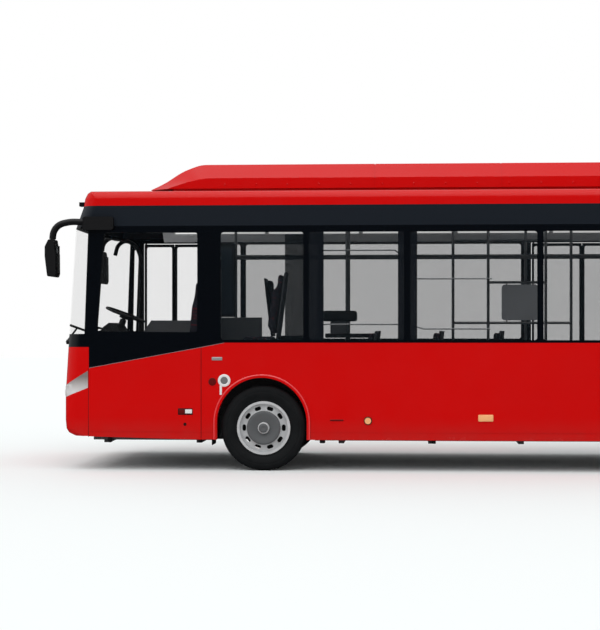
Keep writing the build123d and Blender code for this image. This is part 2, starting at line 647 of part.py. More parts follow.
def tyre(x):
    """Tubeless tyre, round shouldered, its beads on the rim barrel."""
    bead, low = RIM_HALF - 12, SEAT_R + 0.3
    shoulder_x, shoulder_r = SHOULDER
    heel = (bead, FLANGE_R + 4)
    foot = Polyline((-bead, low), (bead, low), heel)
    right = ThreePointArc(heel, (TYRE_WIDTH / 2, BULGE_R), SHOULDER)
    tread = Polyline(SHOULDER, (TREAD_HALF, TYRE_R), (-TREAD_HALF, TYRE_R), (-shoulder_x, shoulder_r))
    left = ThreePointArc((-shoulder_x, shoulder_r), (-TYRE_WIDTH / 2, BULGE_R), (-bead, heel[1]))
    close = Line((-bead, heel[1]), (-bead, low))
    return Pos(x, 0, 0) * revolve(make_face([foot, right, tread, left, close]), axis=Axis.X)


def rim(x):
    """Rim barrel with its two flanges."""
    half, inside = RIM_HALF, RIM_HALF - FLANGE
    return Pos(x, 0, 0) * turned([
        (-half, RIM_IN_R), (half, RIM_IN_R), (half, FLANGE_R), (inside, FLANGE_R),
        (inside, SEAT_R), (-inside, SEAT_R), (-inside, FLANGE_R), (-half, FLANGE_R),
    ])


def hand_holes(disc, x):
    """Oval holes round the disc."""
    plane = Plane(origin=(x - 80, 0, 0), x_dir=(0, 1, 0), z_dir=(1, 0, 0))
    slot = Pos(0, 0, HAND_CIRCLE_R) * extrude(plane * SlotOverall(*HAND_HOLE), amount=160)
    turns = [360.0 / HAND_HOLES * (i + 0.5) for i in range(HAND_HOLES)]
    return disc - [Rot(turn, 0, 0) * slot for turn in turns]


def front_wheel():
    """Outset disc with a bolting face and a capped hub, bored for the stub axle."""
    mid, rim_r = WHEEL_X, RIM_IN_R + 4
    disc = turned([
        (mid + 84, 60), (mid + 98, 60), (mid + 98, BOLT_DISC_R), (mid + 78, BOLT_DISC_R + 22),
        (mid + 62, rim_r), (mid + 48, rim_r), (mid + 64, BOLT_DISC_R + 14), (mid + 84, BOLT_DISC_R - 6),
    ])
    end = STUB_END + BORE_END
    hub = turned([
        (HUB_INNER_X, STUB_R + RUNNING), (HUB_INNER_X, HUB_R), (mid + 30, HUB_R), (mid + 50, 140),
        (mid + 86, 140), (mid + 98, 100), (mid + 98, 66), (mid + 138, 62), (mid + 146, 54), (mid + 146, 0),
        (end, 0), (end, STUB_R + RUNNING),
    ])
    return hand_holes(disc, mid + 70) + hub + rim(mid)


def rear_wheels():
    """Twin wheels back to back on one hub, the outer disc deeply dished."""
    mid, rim_r = WHEEL_X, RIM_IN_R + 4
    joint = mid - TWIN_PITCH / 2
    twin = mid - TWIN_PITCH
    disc = turned([
        (joint - 14, 60), (joint + 14, 60), (joint + 14, BOLT_DISC_R + 40), (mid - 60, rim_r),
        (mid - 78, rim_r), (joint, BOLT_DISC_R + 62), (twin + 78, rim_r), (twin + 60, rim_r),
        (joint - 14, BOLT_DISC_R + 40),
    ])
    end = REAR_STUB_END + BORE_END
    hub = turned([
        (joint - 60, STUB_R + RUNNING), (joint - 60, HUB_R), (joint + 14, 120), (joint + 20, 140),
        (joint + 40, 140), (joint + 60, HUB_R), (mid + 40, 92), (mid + 60, 70), (mid + 60, 0), (end, 0),
        (end, STUB_R + RUNNING),
    ])
    return hand_holes(disc, joint) + hub + rim(mid) + rim(twin)


REAR_STUB_END = WHEEL_X + 10.0
REAR_CASE_X = (720.0, 850.0)       # portal case inside each inner rim
AXLE_TUBE_R = 40.0
AXLE_TUBE_END = 730.0
SPRING_X = 590.0
SPRING_PAD = (110.0, 220.0)        # across and along
SPRING_DIP = 10.0                  # how far a pad reaches into its beam


def beam(inner, outer, wide, high, low_z, high_z):
    """Half of a dropped beam: level middle, swept rise, level end, as one XZ outline."""
    half = high / 2
    face = along([(0, low_z - half), (inner, low_z - half), (outer, high_z - half), (outer, high_z + half),
                  (outer - 40, high_z + half), (inner - 30, low_z + half), (0, low_z + half)])
    plane = Plane(origin=(0, wide / 2, 0), x_dir=(1, 0, 0), z_dir=(0, -1, 0))
    solid = extrude(plane * face, amount=wide)
    return solid + right_of(solid)


def spring_seat(side):
    """Pad between an axle beam and the floor, outside the rail."""
    high = FLOOR_LOW_Z - AXLE_TUBE_Z - SPRING_DIP
    return Pos(side * SPRING_X, 0, FLOOR_LOW_Z - high / 2) * Box(*SPRING_PAD, high)


def front_axle():
    """Dropped forged beam with kingpin eyes and spring seats under the floor."""
    solid = beam(660, 800, 90, 80, AXLE_TUBE_Z, TYRE_R)
    for x in (-1, 1):
        arm = Pos(x * 850, 0, TYRE_R) * Box(160, 80, 80)
        eye = Pos(x * KINGPIN_X, 0, TYRE_R) * Cylinder(EYE_R, 2 * EYE_HALF)
        solid = solid + arm + eye + spring_seat(x)
        solid = solid - Pos(x * KINGPIN_X, 0, TYRE_R) * Cylinder(KINGPIN_R + RUNNING, 200)
    return Pos(0, at(FRONT_AXLE), 0) * solid


def knuckle():
    """Kingpin between two ears, an upright and the stub axle, on the left."""
    ear_z = EYE_HALF + EAR_GAP
    solid = Pos(KINGPIN_X, 0, TYRE_R) * Cylinder(KINGPIN_R, 2 * (ear_z + EAR_THICK))
    for side in (-1, 1):
        z = TYRE_R + side * (ear_z + EAR_THICK / 2)
        arm = Pos((KINGPIN_X + UPRIGHT_X[1]) / 2, 0, z) * Box(UPRIGHT_X[1] - KINGPIN_X, 90, EAR_THICK)
        solid = solid + arm + Pos(KINGPIN_X, 0, z) * Cylinder(EAR_R, EAR_THICK)
    width = UPRIGHT_X[1] - UPRIGHT_X[0]
    upright = Pos(sum(UPRIGHT_X) / 2, 0, TYRE_R) * Box(width, 150, 2 * (ear_z + EAR_THICK))
    stub = rod((UPRIGHT_X[0] + 5, 0, TYRE_R), (STUB_END, 0, TYRE_R), STUB_R)
    return Pos(0, at(FRONT_AXLE), 0) * (solid + upright + stub)


def rear_axle():
    """Portal axle: low tube under the floor, a case inside each inner rim, stubs for the hubs."""
    solid = rod((-AXLE_TUBE_END, 0, AXLE_TUBE_Z), (AXLE_TUBE_END, 0, AXLE_TUBE_Z), AXLE_TUBE_R)
    solid = solid + Pos(0, 0, AXLE_TUBE_Z) * Cylinder(110, 90)
    low, high = AXLE_TUBE_Z - AXLE_TUBE_R - 2, TYRE_R + 70
    case = Box(REAR_CASE_X[1] - REAR_CASE_X[0], 170, high - low)
    case = fillet(case.edges().filter_by(Axis.X), 60)
    for side in (-1, 1):
        solid = solid + Pos(side * sum(REAR_CASE_X) / 2, 0, (low + high) / 2) * case
        solid = solid + rod((side * AXLE_TUBE_END, 0, TYRE_R), (side * REAR_STUB_END, 0, TYRE_R), STUB_R)
        solid = solid + spring_seat(side)
    return Pos(0, at(REAR_AXLE), 0) * solid


# ---- cab ----

CAB_X = (262.0, 1205.0)
CAB_FLOOR_Z = 820.0
CAB_END = 1585.0
WHEEL_MIDDLE = (750.0, 570.0, 1755.0)     # steering wheel: X, station, Z
WHEEL_TILT = 21.0
WHEEL_RIM_R = 225.0
WHEEL_TUBE_R = 15.0
COLUMN_R = 22.0


def steering_plane():
    """Frame at the steering wheel: its Z runs up the column towards the driver."""
    x, s, z = WHEEL_MIDDLE
    tilt = radians(WHEEL_TILT)
    return Plane(origin=(x, at(s), z), x_dir=(1, 0, 0), z_dir=(0, sin(tilt), cos(tilt)))


UPRIGHT = (Align.CENTER, Align.CENTER, Align.MIN)      # for a cylinder that starts at its foot
DASH_HOOD = [(330, 1540), (520, 1480), (560, 1560), (500, 1650), (430, 1660), (360, 1610)]
DASH_HOOD_HALF = 260.0
COLUMN_FOOT_HALF = 60.0


def dashboard():
    """Cab floor, dashboard with an instrument hood, and the steering column."""
    outline = [(300, FLOOR_Z), (CAB_END, FLOOR_Z), (CAB_END, CAB_FLOOR_Z), (560, CAB_FLOOR_Z), (470, 1180),
               (560, 1330), (530, 1500), (420, 1590), (330, 1560), (250, 1500), (250, 1340), (300, 1300)]
    solid = side_plate(side_face(outline), *CAB_X)
    shelf = block((-1150, CAB_X[0]), (200, 290), (1300, 1400))
    shelf = shelf & stack(nose_section, NOSE_LOW, WALL + 3, NOSE_DEPTH, 0, 100)
    corner = block((CAB_X[1] - 120, CAB_X[1]), (0, 400), (FLOOR_Z, 1500))
    wheel_x = WHEEL_MIDDLE[0]
    hood = side_plate(side_face(DASH_HOOD), wheel_x - DASH_HOOD_HALF, wheel_x + DASH_HOOD_HALF)
    column = Pos(0, 0, -560) * Cylinder(COLUMN_R + 16, 500, align=UPRIGHT)
    pin = Pos(0, 0, -100) * Cylinder(COLUMN_R, 90, align=UPRIGHT)
    foot = block((wheel_x - COLUMN_FOOT_HALF, wheel_x + COLUMN_FOOT_HALF), (420, 520), (CAB_FLOOR_Z - 5, 1300))
    return solid + hood - corner + steering_plane() * (column + pin) + foot + shelf


def steering_wheel():
    """Rim on three spokes, its hub bored for the column."""
    solid = Torus(WHEEL_RIM_R, WHEEL_TUBE_R) + Pos(0, 0, -50) * Cylinder(58, 55, align=UPRIGHT)
    spoke = Pos(WHEEL_RIM_R / 2, 0, -12) * Box(WHEEL_RIM_R - 10, 36, 10)
    solid = solid + [Rot(0, 0, angle) * spoke for angle in (90, 210, 330)]
    bore = Pos(0, 0, -60) * Cylinder(COLUMN_R + RUNNING, 55.5, align=UPRIGHT)
    return steering_plane() * (solid - bore)


SEAT_WIDTH = 440.0
SEAT_PITCH_X = 455.0
SEAT_DEPTH = 430.0
SEAT_RISE = 430.0         # floor to seat
SEAT_THICK = 80.0
BACK_RISE = 740.0         # seat to the top of the backrest
BACK_THICK = 70.0
BACK_LEAN = 90.0
HEAD_R = 70.0
WINDOW_SEAT_X = INNER_X - SEAT_WIDTH / 2 - 25
AISLE_SEAT_X = WINDOW_SEAT_X - SEAT_PITCH_X
LEFT_ROWS = [3420.0, 4180.0, 6540.0, 7300.0]      # stations of the backrests' feet
RIGHT_ROWS = [3420.0, 4180.0, 4940.0, 7480.0]
REAR_ROWS = [LENGTH - 2230, LENGTH - 1430]
LAST_ROW = LENGTH - 450
LAST_ROW_PITCH = 470.0


def seat_places():
    """Every passenger seat as (x, station of the backrest's foot, floor height, 1 forwards or -1 back)."""
    places = []
    for x in (WINDOW_SEAT_X, AISLE_SEAT_X):
        places += [(x, s, FLOOR_Z, 1) for s in LEFT_ROWS]
        places += [(-x, s, FLOOR_Z, 1) for s in RIGHT_ROWS]
        for s in REAR_ROWS:
            places += [(x, s, REAR_FLOOR_Z, 1), (-x, s, REAR_FLOOR_Z, 1)]
    places.append((WINDOW_SEAT_X, FRONT_AXLE + 172, BOX_TOP_Z, 1))
    places.append((-WINDOW_SEAT_X, FRONT_AXLE - 128, BOX_TOP_Z, -1))
    for x in (WINDOW_SEAT_X, -WINDOW_SEAT_X):
        places += [(x, REAR_AXLE - 110, BOX_TOP_Z, 1), (x, REAR_AXLE + 110, BOX_TOP_Z, -1)]
    for i in range(5):
        places.append(((i - 2) * LAST_ROW_PITCH, LAST_ROW, REAR_FLOOR_Z, 1))
    return places


def head_edges(back):
    """The two short edges at the top of a backrest's sides."""
    top = back.bounding_box().max.Z
    return [edge for edge in back.edges().filter_by(Axis.Y, tolerance=20) if edge.center().Z > top - 8]


def seat(place):
    """Squab on a pedestal, and a high leaning backrest with a rounded head."""
    x, station, floor, facing = place
    top = floor + SEAT_RISE
    squab = [(0, top - SEAT_THICK), (SEAT_DEPTH, top - SEAT_THICK + 15), (SEAT_DEPTH + 12, top - 25),
             (SEAT_DEPTH - 20, top + 12), (BACK_THICK, top), (0, top)]
    back = [(0, top), (BACK_THICK, top), (BACK_THICK - 8, top + 220),
            (BACK_THICK - BACK_LEAN, top + BACK_RISE), (-BACK_LEAN, top + BACK_RISE), (-40, top + 300)]
    solids = []
    for outline in (squab, back):
        face = side_face([(station - facing * s, z) for s, z in outline])
        solids.append(side_plate(face, x - SEAT_WIDTH / 2, x + SEAT_WIDTH / 2))
    squab, back = solids
    foot = sorted((station - facing * 80, station - facing * 330))
    leg = block((x - 60, x + 60), foot, (floor, top - SEAT_THICK + 5))
    return [squab + leg, fillet(head_edges(back), HEAD_R)]


def driver_seat():
    """Sprung driver's seat: squab on a sprung base, and a high backrest with its head rest."""
    x, s, floor = WHEEL_MIDDLE[0], CAB_END - 150, CAB_FLOOR_Z
    squab = [(s - 470, floor + 400), (s - 10, floor + 380), (s - 5, floor + 500), (s - 60, floor + 500),
             (s - 440, floor + 530), (s - 480, floor + 490)]
    back = [(s - 60, floor + 500), (s - 5, floor + 500), (s + 60, floor + 1080), (s + 100, floor + 1340),
            (s + 50, floor + 1345), (s - 10, floor + 1080)]
    squab = side_plate(side_face(squab), x - 250, x + 250)
    back = side_plate(side_face(back), x - 240, x + 240)
    base = block((x - 170, x + 170), (s - 400, s - 60), (floor + 60, floor + 405))
    foot = block((x - 200, x + 200), (s - 430, s - 30), (floor, floor + 65))
    return [squab + base + foot, fillet(head_edges(back), 90)]


SCREEN_Z = (1480.0, 2300.0)       # foot of its window and top of the screen
CAB_DOOR_Z = 1690.0
CAB_DOOR_START = 700.0
CAB_DOOR_THICK = 28.0


def cab_partition():
    """Screen behind the driver with a rounded window, and the low cab door beside the seat."""
    s = (CAB_END + 12, CAB_END + 46)
    panel = block(CAB_X, s, (FLOOR_Z, SCREEN_Z[1]))
    window = block((CAB_X[0] + 60, CAB_X[1] - 60), (s[0] - PAST, s[1] + PAST), (SCREEN_Z[0], SCREEN_Z[1] - 60))
    window = fillet(window.edges().filter_by(Axis.Y), 70)
    gate = side_face([(CAB_DOOR_START, CAB_FLOOR_Z), (s[0], CAB_FLOOR_Z), (s[0], CAB_DOOR_Z),
                      (CAB_DOOR_START + 90, CAB_DOOR_Z), (CAB_DOOR_START, CAB_DOOR_Z - 130)])
    return panel - window + side_plate(gate, CAB_X[0], CAB_X[0] + CAB_DOOR_THICK)


# handrails: stations of the posts, from the floor to the ceiling
POST_TOP = ROOF_Z - ROOF_THICK - 6
AISLE_POST_X = 262.0
BAY_POSTS = [4371.0, 4783.0, 5455.0, 5750.0]      # round the wheelchair bay, across from the centre door
LEFT_POSTS = [1800.0, 3120.0, *BAY_POSTS, REAR_AXLE - 748]
RIGHT_POSTS = [1420.0, 3120.0, CENTRE_DOOR[0] - 140, CENTRE_DOOR[1] + 140]
RAIL_R = 17.0
LONG_RAIL_Z = 2450.0
BAY_RAILS = [(0, 3, 1660.0), (0, 3, 2626.0), (1, 2, 2136.0)]     # first and last post, height
BAY_SCREEN = [(4940.0, 1690.0), (5370.0, 1690.0), (5370.0, 2110.0), (4940.0, 2110.0)]


def handrails():
    """Posts along the aisle, each side tied by an overhead rail; a railed bay with a screen on the left."""
    groups = []
    for x, stations in ((AISLE_POST_X, LEFT_POSTS), (-AISLE_POST_X, RIGHT_POSTS)):
        rail = rod((x, at(stations[0]), LONG_RAIL_Z), (x, at(stations[-1]), LONG_RAIL_Z), RAIL_R - 1)
        for station in stations:
            rail = rail + rod((x, at(station), FLOOR_Z), (x, at(station), POST_TOP), RAIL_R)
        groups.append(rail)
    left = groups[0]
    for first, last, z in BAY_RAILS:
        ends = [(AISLE_POST_X, at(BAY_POSTS[i]), z) for i in (first, last)]
        left = left + rod(*ends, RAIL_R - 2)
    screen = side_plate(side_face(BAY_SCREEN, 40), AISLE_POST_X - 4, AISLE_POST_X + 4)
    low_rail, high_rail = BAY_RAILS[0][2], BAY_RAILS[2][2]
    for y in (at(BAY_SCREEN[0][0] + 60), at(BAY_SCREEN[1][0] - 60)):
        for z in (low_rail, high_rail - 60):
            left = left + rod((AISLE_POST_X, y, z), (AISLE_POST_X, y, z + 60), 8)
    return [left + screen, groups[1]]


DUCT_RUN = (700.0, LENGTH - 420)
DUCT = [(INNER_X, 2705), (INNER_X, 2972), (INNER_X - 60, 3080), (INNER_X - 330, 3096), (INNER_X - 300, 2960),
        (INNER_X - 60, 2705)]


def ceiling_ducts():
    """Air ducts along both cornices, with the light strips in their faces."""
    duct = run(along(DUCT), *DUCT_RUN)
    return [duct, right_of(duct)]


# ---- mirrors, wipers, small lamps ----

ARM_X = HALF_WIDTH + 34.0
HEAD_X = (1225.0, 1452.0)
HEAD = [(-112, 2596), (-165, 2588), (-MIRROR_REACH, 2510), (-MIRROR_REACH, 2400), (-176, 2178), (-96, 2168),
        (-82, 2210), (-84, 2420)]
ARM = [(300, 2790), (60, 2795), (-70, 2768), (-140, 2690), (-148, 2580)]
ARM_R = 26.0


def left_mirror():
    """Mount on the pillar, swan-neck arm and a deep moulded head."""
    mount = block((HALF_WIDTH, HALF_WIDTH + 62), (196, 545), (2700, 2850))
    mount = fillet(mount.edges().filter_by(Axis.X), 30)
    path = FilletPolyline(*[(ARM_X, at(s), z) for s, z in ARM], radius=60)
    section = Plane(origin=path @ 0, z_dir=path % 0) * Circle(ARM_R)
    arm = sweep(section, path=path)
    head = side_plate(side_face(HEAD), *HEAD_X)
    head = fillet(head.edges().filter_by(Axis.X), 18)
    return mount + arm + head


def nose_at(z):
    """Station of the foremost point of the front at a height on the screen."""
    for (z0, s0), (z1, s1) in zip(NOSE_HIGH, NOSE_HIGH[1:]):
        if z0 <= z <= z1:
            return s0 + (s1 - s0) * (z - z0) / (z1 - z0)
    return NOSE_HIGH[0][1]


def screen_point(x, z, stand_off):
    """A point ahead of the screen."""
    return (x, at(nose_at(z) + NOSE_BOW * (x / HALF_WIDTH) ** 2 - stand_off), z)


WIPERS = [(1010.0, 470.0), (-170.0, -680.0)]     # X of pivot and of the blade's middle
PIVOT_R = 26.0
WIPER_ARM_R = 11.0
BLADE_R = 14.0
BLADE_HALF = 430.0


def wipers(carrier):
    """Pivot, arm and blade, parked low across the screen, seated on the surround."""
    solids = []
    for pivot_x, blade_x in WIPERS:
        pivot = screen_point(pivot_x, 1440, 46)
        root = screen_point(pivot_x, 1440, -12)
        middle = screen_point(blade_x, 1600, 34)
        tips = [screen_point(blade_x + side * BLADE_HALF, 1600 + side * 30, 30) for side in (-1, 1)]
        solid = rod(root, pivot, PIVOT_R) + rod(pivot, middle, WIPER_ARM_R) + rod(*tips, BLADE_R)
        solids.append(solid - carrier)
    return solids


SIDE_LAMP_R = 36.0
SIDE_LAMP_OUT = 14.0
SIDE_LAMPS = [(3400.0, 566.0), (4660.0, 600.0), (REAR_AXLE - 828, 600.0), (LENGTH - 1150, 600.0)]
ROOF_LAMP_X = (970.0, 1070.0)


def marker_lamps():
    """Clearance lamps: two over the screen and amber ones along both skirts."""
    solids = []
    for station, z in SIDE_LAMPS:
        lamp = rod((HALF_WIDTH, at(station), z), (HALF_WIDTH + SIDE_LAMP_OUT, at(station), z), SIDE_LAMP_R)
        solids += [lamp, right_of(lamp)]
    ends = stack(nose_section, NOSE_ROOF, 0.0, LENGTH / 2)
    lamp = block(ROOF_LAMP_X, (100, 230), (BAND_TOP_Z + 12, BAND_TOP_Z + 58)) - ends
    return solids + [lamp, right_of(lamp)]


MOTOR_RUN = (STEP_START + 480, STEP_START + 1580)
MOTOR_TOP_Z = 740.0


def drive_motor():
    """Plain block for the heavy drive unit, on its bearers."""
    return block((-RAIL_X - 20, RAIL_X + 20), MOTOR_RUN, (FLOOR_Z, MOTOR_TOP_Z))


# ---- all nodes ----

panel, lamps, surround, screen = front_solids()
save("front_panel", panel)
save("headlamps", lamps)
save("windscreen_frame", surround)
save("windscreen", *screen)
wall, pane, lamps, hatch = rear_solids()
save("rear_panel", wall)
save("rear_window", pane)
save("tail_lamps", lamps)
save("engine_hatch", hatch)

save("left_lower_side", lower_side([]))
save("right_lower_side", right_of(lower_side(DOORS)))
save("left_window_frame", window_frame([], True))
frame = right_of(window_frame(DOORS, False))
for first, last, aft in LEAVES:
    x, y = leaf_pivot(first, last, aft)
    frame = frame - Pos(x, y, DOOR_HEAD_Z) * Cylinder(POST_R + RUNNING, 50)
save("right_window_frame", frame)
save("left_side_glass", *side_glass([], True))
save("right_side_glass", *[right_of(glass) for glass in side_glass(DOORS, False)])
save("roof_shell", roof_shell())
save("roof_pod", roof_pod())

save("floor", *boards())
save("underframe", *underframe())
save("wheel_boxes", *wheel_boxes())
save("front_axle", front_axle())
save("rear_axle", rear_axle())
save("drive_motor", drive_motor())

save("dashboard", dashboard())
save("driver_seat", *driver_seat())
save("cab_partition", cab_partition())
save("passenger_seats", *[solid for place in seat_places() for solid in seat(place)])
save("handrails", *handrails())
save("ceiling_ducts", *ceiling_ducts())
save("left_mirror", left_mirror())
save("right_mirror", right_of(left_mirror()))
save("wipers", *wipers(surround))
save("marker_lamps", *marker_lamps())

save("steering_wheel", steering_wheel())
save("left_knuckle", knuckle())
save("right_knuckle", right_of(knuckle()))
front = Pos(0, at(FRONT_AXLE), TYRE_R)
rear = Pos(0, at(REAR_AXLE), TYRE_R)
wheel_parts = {
    "front_{}_wheel": [front * front_wheel()],
    "front_{}_tyre": [front * tyre(WHEEL_X)],
    "rear_{}_wheels": [rear * rear_wheels()],
    "rear_{}_tyres": [rear * tyre(WHEEL_X), rear * tyre(WHEEL_X - TWIN_PITCH)],
}
for node, pieces in wheel_parts.items():
    save(node.format("left"), *pieces)
    save(node.format("right"), *[right_of(piece) for piece in pieces])

for name, (first, last, aft) in zip(LEAF_NAMES, LEAVES):
    leaf, pane = door_leaf(first, last, aft)
    save(name + "_leaf", leaf)
    save(name + "_glass", pane)
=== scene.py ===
import math

import bmesh
import bpy
from mathutils import Matrix, Vector


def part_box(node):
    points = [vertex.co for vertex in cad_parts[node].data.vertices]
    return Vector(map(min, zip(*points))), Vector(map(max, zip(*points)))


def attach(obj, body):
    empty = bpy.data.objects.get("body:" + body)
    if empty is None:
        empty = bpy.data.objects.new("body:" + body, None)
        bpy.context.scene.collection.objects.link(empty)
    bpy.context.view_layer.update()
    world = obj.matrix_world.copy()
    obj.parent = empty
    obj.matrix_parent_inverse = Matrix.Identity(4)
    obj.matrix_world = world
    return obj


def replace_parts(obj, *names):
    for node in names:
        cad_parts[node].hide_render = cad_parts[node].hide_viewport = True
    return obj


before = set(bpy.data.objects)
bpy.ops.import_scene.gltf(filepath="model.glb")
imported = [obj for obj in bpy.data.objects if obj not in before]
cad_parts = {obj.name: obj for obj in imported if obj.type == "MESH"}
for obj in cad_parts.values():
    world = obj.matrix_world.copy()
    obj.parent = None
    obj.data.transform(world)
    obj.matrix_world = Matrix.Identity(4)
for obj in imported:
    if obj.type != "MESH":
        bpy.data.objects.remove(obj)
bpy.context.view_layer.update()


# ---------------- body shell, red panels
# The lower sides, front and rear panels, engine hatch, roof skin and roof fairing are sheet metal and
# moulded plastic, sprayed in one gloss red. The CAD solids keep their shapes; the finish adds a faint
# orange peel, a slow change of shade, road film along the skirts and, on the inner faces, a grey lining.

class Socket:
    """An output socket of a material; sums and products on it add their Math nodes."""

    def __init__(self, finish, socket):
        self.finish = finish
        self.socket = socket

    def math(self, operation, other=None, swap=False):
        values = (other, self) if swap else (self, other)
        inputs = {i: v for i, v in enumerate(values) if v is not None}
        return self.finish.node("Math", settings={"operation": operation}, inputs=inputs)

    def __add__(self, other):
        return self.math("ADD", other)

    __radd__ = __add__

    def __sub__(self, other):
        return self.math("SUBTRACT", other)

    def __rsub__(self, other):
        return self.math("SUBTRACT", other, swap=True)

    def __mul__(self, other):
        return self.math("MULTIPLY", other)

    __rmul__ = __mul__

    def __gt__(self, other):
        return self.math("GREATER_THAN", other)

    def __lt__(self, other):
        return self.math("LESS_THAN", other)

    def between(self, low, high):
        return (self > low) * (self < high)


class Finish:
    """A material under a Principled shader, its patterns read from Object coordinates.

    rough varies the roughness by a noise: its scale, share and least value. grain adds a bump: a noise's
    scale, the bump's strength and, where it isn't 1 mm, its distance.
    """

    def __init__(self, name, colour, roughness, rough=None, grain=None, **shader):
        self.material = bpy.data.materials.new(name)
        self.material.use_nodes = True
        self.tree = self.material.node_tree
        self.shader = self.tree.nodes["Principled BSDF"]
        self.set("Base Color", colour)
        self.set("Roughness", roughness)
        for key, value in shader.items():
            self.set(key.replace("_", " "), value)
        if rough:
            scale, share, least = rough
            self.set("Roughness", self.noise(scale) * share + least)
        if grain:
            scale, *how = grain
            self.bump(self.noise(scale), *how)

    def node(self, kind, output=0, settings=None, inputs=None):
        made = self.tree.nodes.new("ShaderNode" + kind)
        for key, value in (settings or {}).items():
            setattr(made, key, value)
        for key, value in (inputs or {}).items():
            self.feed(made.inputs[key], value)
        return Socket(self, made.outputs[output])

    def feed(self, socket, value):
        if isinstance(value, Socket):
            self.tree.links.new(value.socket, socket)
        elif socket.type == "RGBA" and len(value) == 3:
            socket.default_value = (*value, 1.0)
        else:
            socket.default_value = value

    def set(self, name, value):
        self.feed(self.shader.inputs[name], value)

    def place(self):
        return self.node("TexCoord", output="Object")

    def axis(self, name):
        return self.node("SeparateXYZ", output=name, inputs={"Vector": self.place()})

    def noise(self, scale, detail=2.0, stretch=(1.0, 1.0, 1.0)):
        where = self.node("Mapping", inputs={"Vector": self.place(), "Scale": stretch})
        return self.node("TexNoise", inputs={"Vector": where, "Scale": scale, "Detail": detail})

    def blend(self, mask, first, second):
        return self.node("Mix", output="Result", settings={"data_type": "RGBA"},
                         inputs={"Factor": mask, 6: first, 7: second})

    def ramp(self, value, low, high, first=0.0, last=1.0):
        """first below low, last above high, and even between them."""
        return self.node("MapRange", inputs={"Value": value, "From Min": low, "From Max": high,
                                             "To Min": first, "To Max": last})

    def bump(self, height, strength, distance=0.001):
        inputs = {"Height": height, "Strength": strength, "Distance": distance}
        self.set("Normal", self.node("Bump", inputs=inputs))

    def on(self, *nodes):
        """Give the finish to CAD nodes, in place of the slot's own."""
        for name in nodes:
            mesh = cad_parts[name].data
            mesh.materials.clear()
            mesh.materials.append(self.material)


RED = (0.66, 0.0006, 0.0004)
RED_DEEP = (0.55, 0.0005, 0.0004)
ROAD_FILM = (0.17, 0.05, 0.04)
SKIRT_FILM_Z = (0.34, 0.60)
LINING_GREY = (0.42, 0.43, 0.44)      # the cabin's lining, on the same panels' inner faces
LINING_X = 1.217
LINING_Z = 3.125
LINING_FOOT_Z = 0.50
CORNER_X = 1.105                      # axis of the round corners, front and rear
FRONT_CORNER_Y = -5.735
REAR_CORNER_Y = 5.862
CORNER_LINING_R = 0.135               # between the corners' inner and outer radius
FRONT_WALL = (0.0308, 0.187)          # bow by the square of X, and depth of the wall past the corner's axis
REAR_WALL = (0.0185, 0.150)
TAIL_LEAN_Z = 1.435                   # over this height the rear wall leans in
TAIL_SLOPE = 0.0389
ROOF_FOOT_Z = 2.95
ROOF_LINING_Y = (-5.45, 5.80)         # above that the ends are rounded, and the lining stops short

red_paint = Finish("red_paint", RED, 0.22, grain=(420.0, 0.03), Specular_IOR_Level=0.24)
shade = red_paint.blend(red_paint.noise(0.7, stretch=(1, 0.35, 1)), RED_DEEP, RED)
skirt = 1.0 - red_paint.ramp(red_paint.axis("Z"), *SKIRT_FILM_Z)
film = skirt * red_paint.noise(5.0, detail=5.0) * 0.28
outside = red_paint.blend(film, shade, ROAD_FILM)
across = red_paint.axis("X").math("ABSOLUTE")
over = (red_paint.axis("Z") - TAIL_LEAN_Z).math("MAXIMUM", 0.0)


def inside(depth, bow, limit):
    """Where a point is on the lining's side of an end wall and its corners; depth is from the corners' axis."""
    aside = across - CORNER_X
    outer = (aside * aside + depth * depth) > CORNER_LINING_R ** 2
    return (across * across * bow + depth < limit) * (1.0 - (across > CORNER_X) * (depth > 0.0) * outer)


lined = (across < LINING_X) * red_paint.axis("Z").between(LINING_FOOT_Z, LINING_Z)
lined = lined * inside(FRONT_CORNER_Y - red_paint.axis("Y"), *FRONT_WALL)
lined = lined * inside(red_paint.axis("Y") + over * TAIL_SLOPE - REAR_CORNER_Y, *REAR_WALL)
flat_roof = red_paint.axis("Y").between(*ROOF_LINING_Y)
lined = lined * (1.0 - (red_paint.axis("Z") > ROOF_FOOT_Z) * (1.0 - flat_roof))
red_paint.set("Base Color", red_paint.blend(lined, outside, LINING_GREY))
red_paint.set("Roughness", red_paint.noise(3.0) * 0.08 + film * 0.6 + 0.14)
red_paint.on("left_lower_side", "right_lower_side", "front_panel", "rear_panel", "engine_hatch",
             "roof_shell", "roof_pod")


# ---------------- window band and pillars
# The pillars and the screen surround are black-backed glass, bonded flush. The band over the windows is
# the same black in a duller panel. Both are smooth, with faint streaks from the wash.

PILLAR_BLACK = (0.0012, 0.0022, 0.0040)
BAND_BLACK = (0.0095, 0.0135, 0.0200)
BAND_FOOT_Z = (2.742, 2.752)

black_panel = Finish("black_panel", PILLAR_BLACK, 0.12, grain=(300.0, 0.015), Specular_IOR_Level=0.40)
streak = black_panel.noise(1.3, detail=3.0, stretch=(1, 0.2, 2.0))
upper = black_panel.ramp(black_panel.axis("Z"), *BAND_FOOT_Z)
black_panel.set("Base Color", black_panel.blend(upper, PILLAR_BLACK, BAND_BLACK))
black_panel.set("Roughness", streak * 0.12 + upper * 0.14 + 0.07)
black_panel.on("left_window_frame", "right_window_frame", "windscreen_frame")


# ---------------- glass
# Toughened panes, the CAD sheets themselves: grey tinted along the passenger bays, clear at the cab, in
# the windscreen and in the front door. Alpha lets the cabin show through, once for each face of a pane. A
# black ceramic border is printed on the left panes beside two of the pillars.

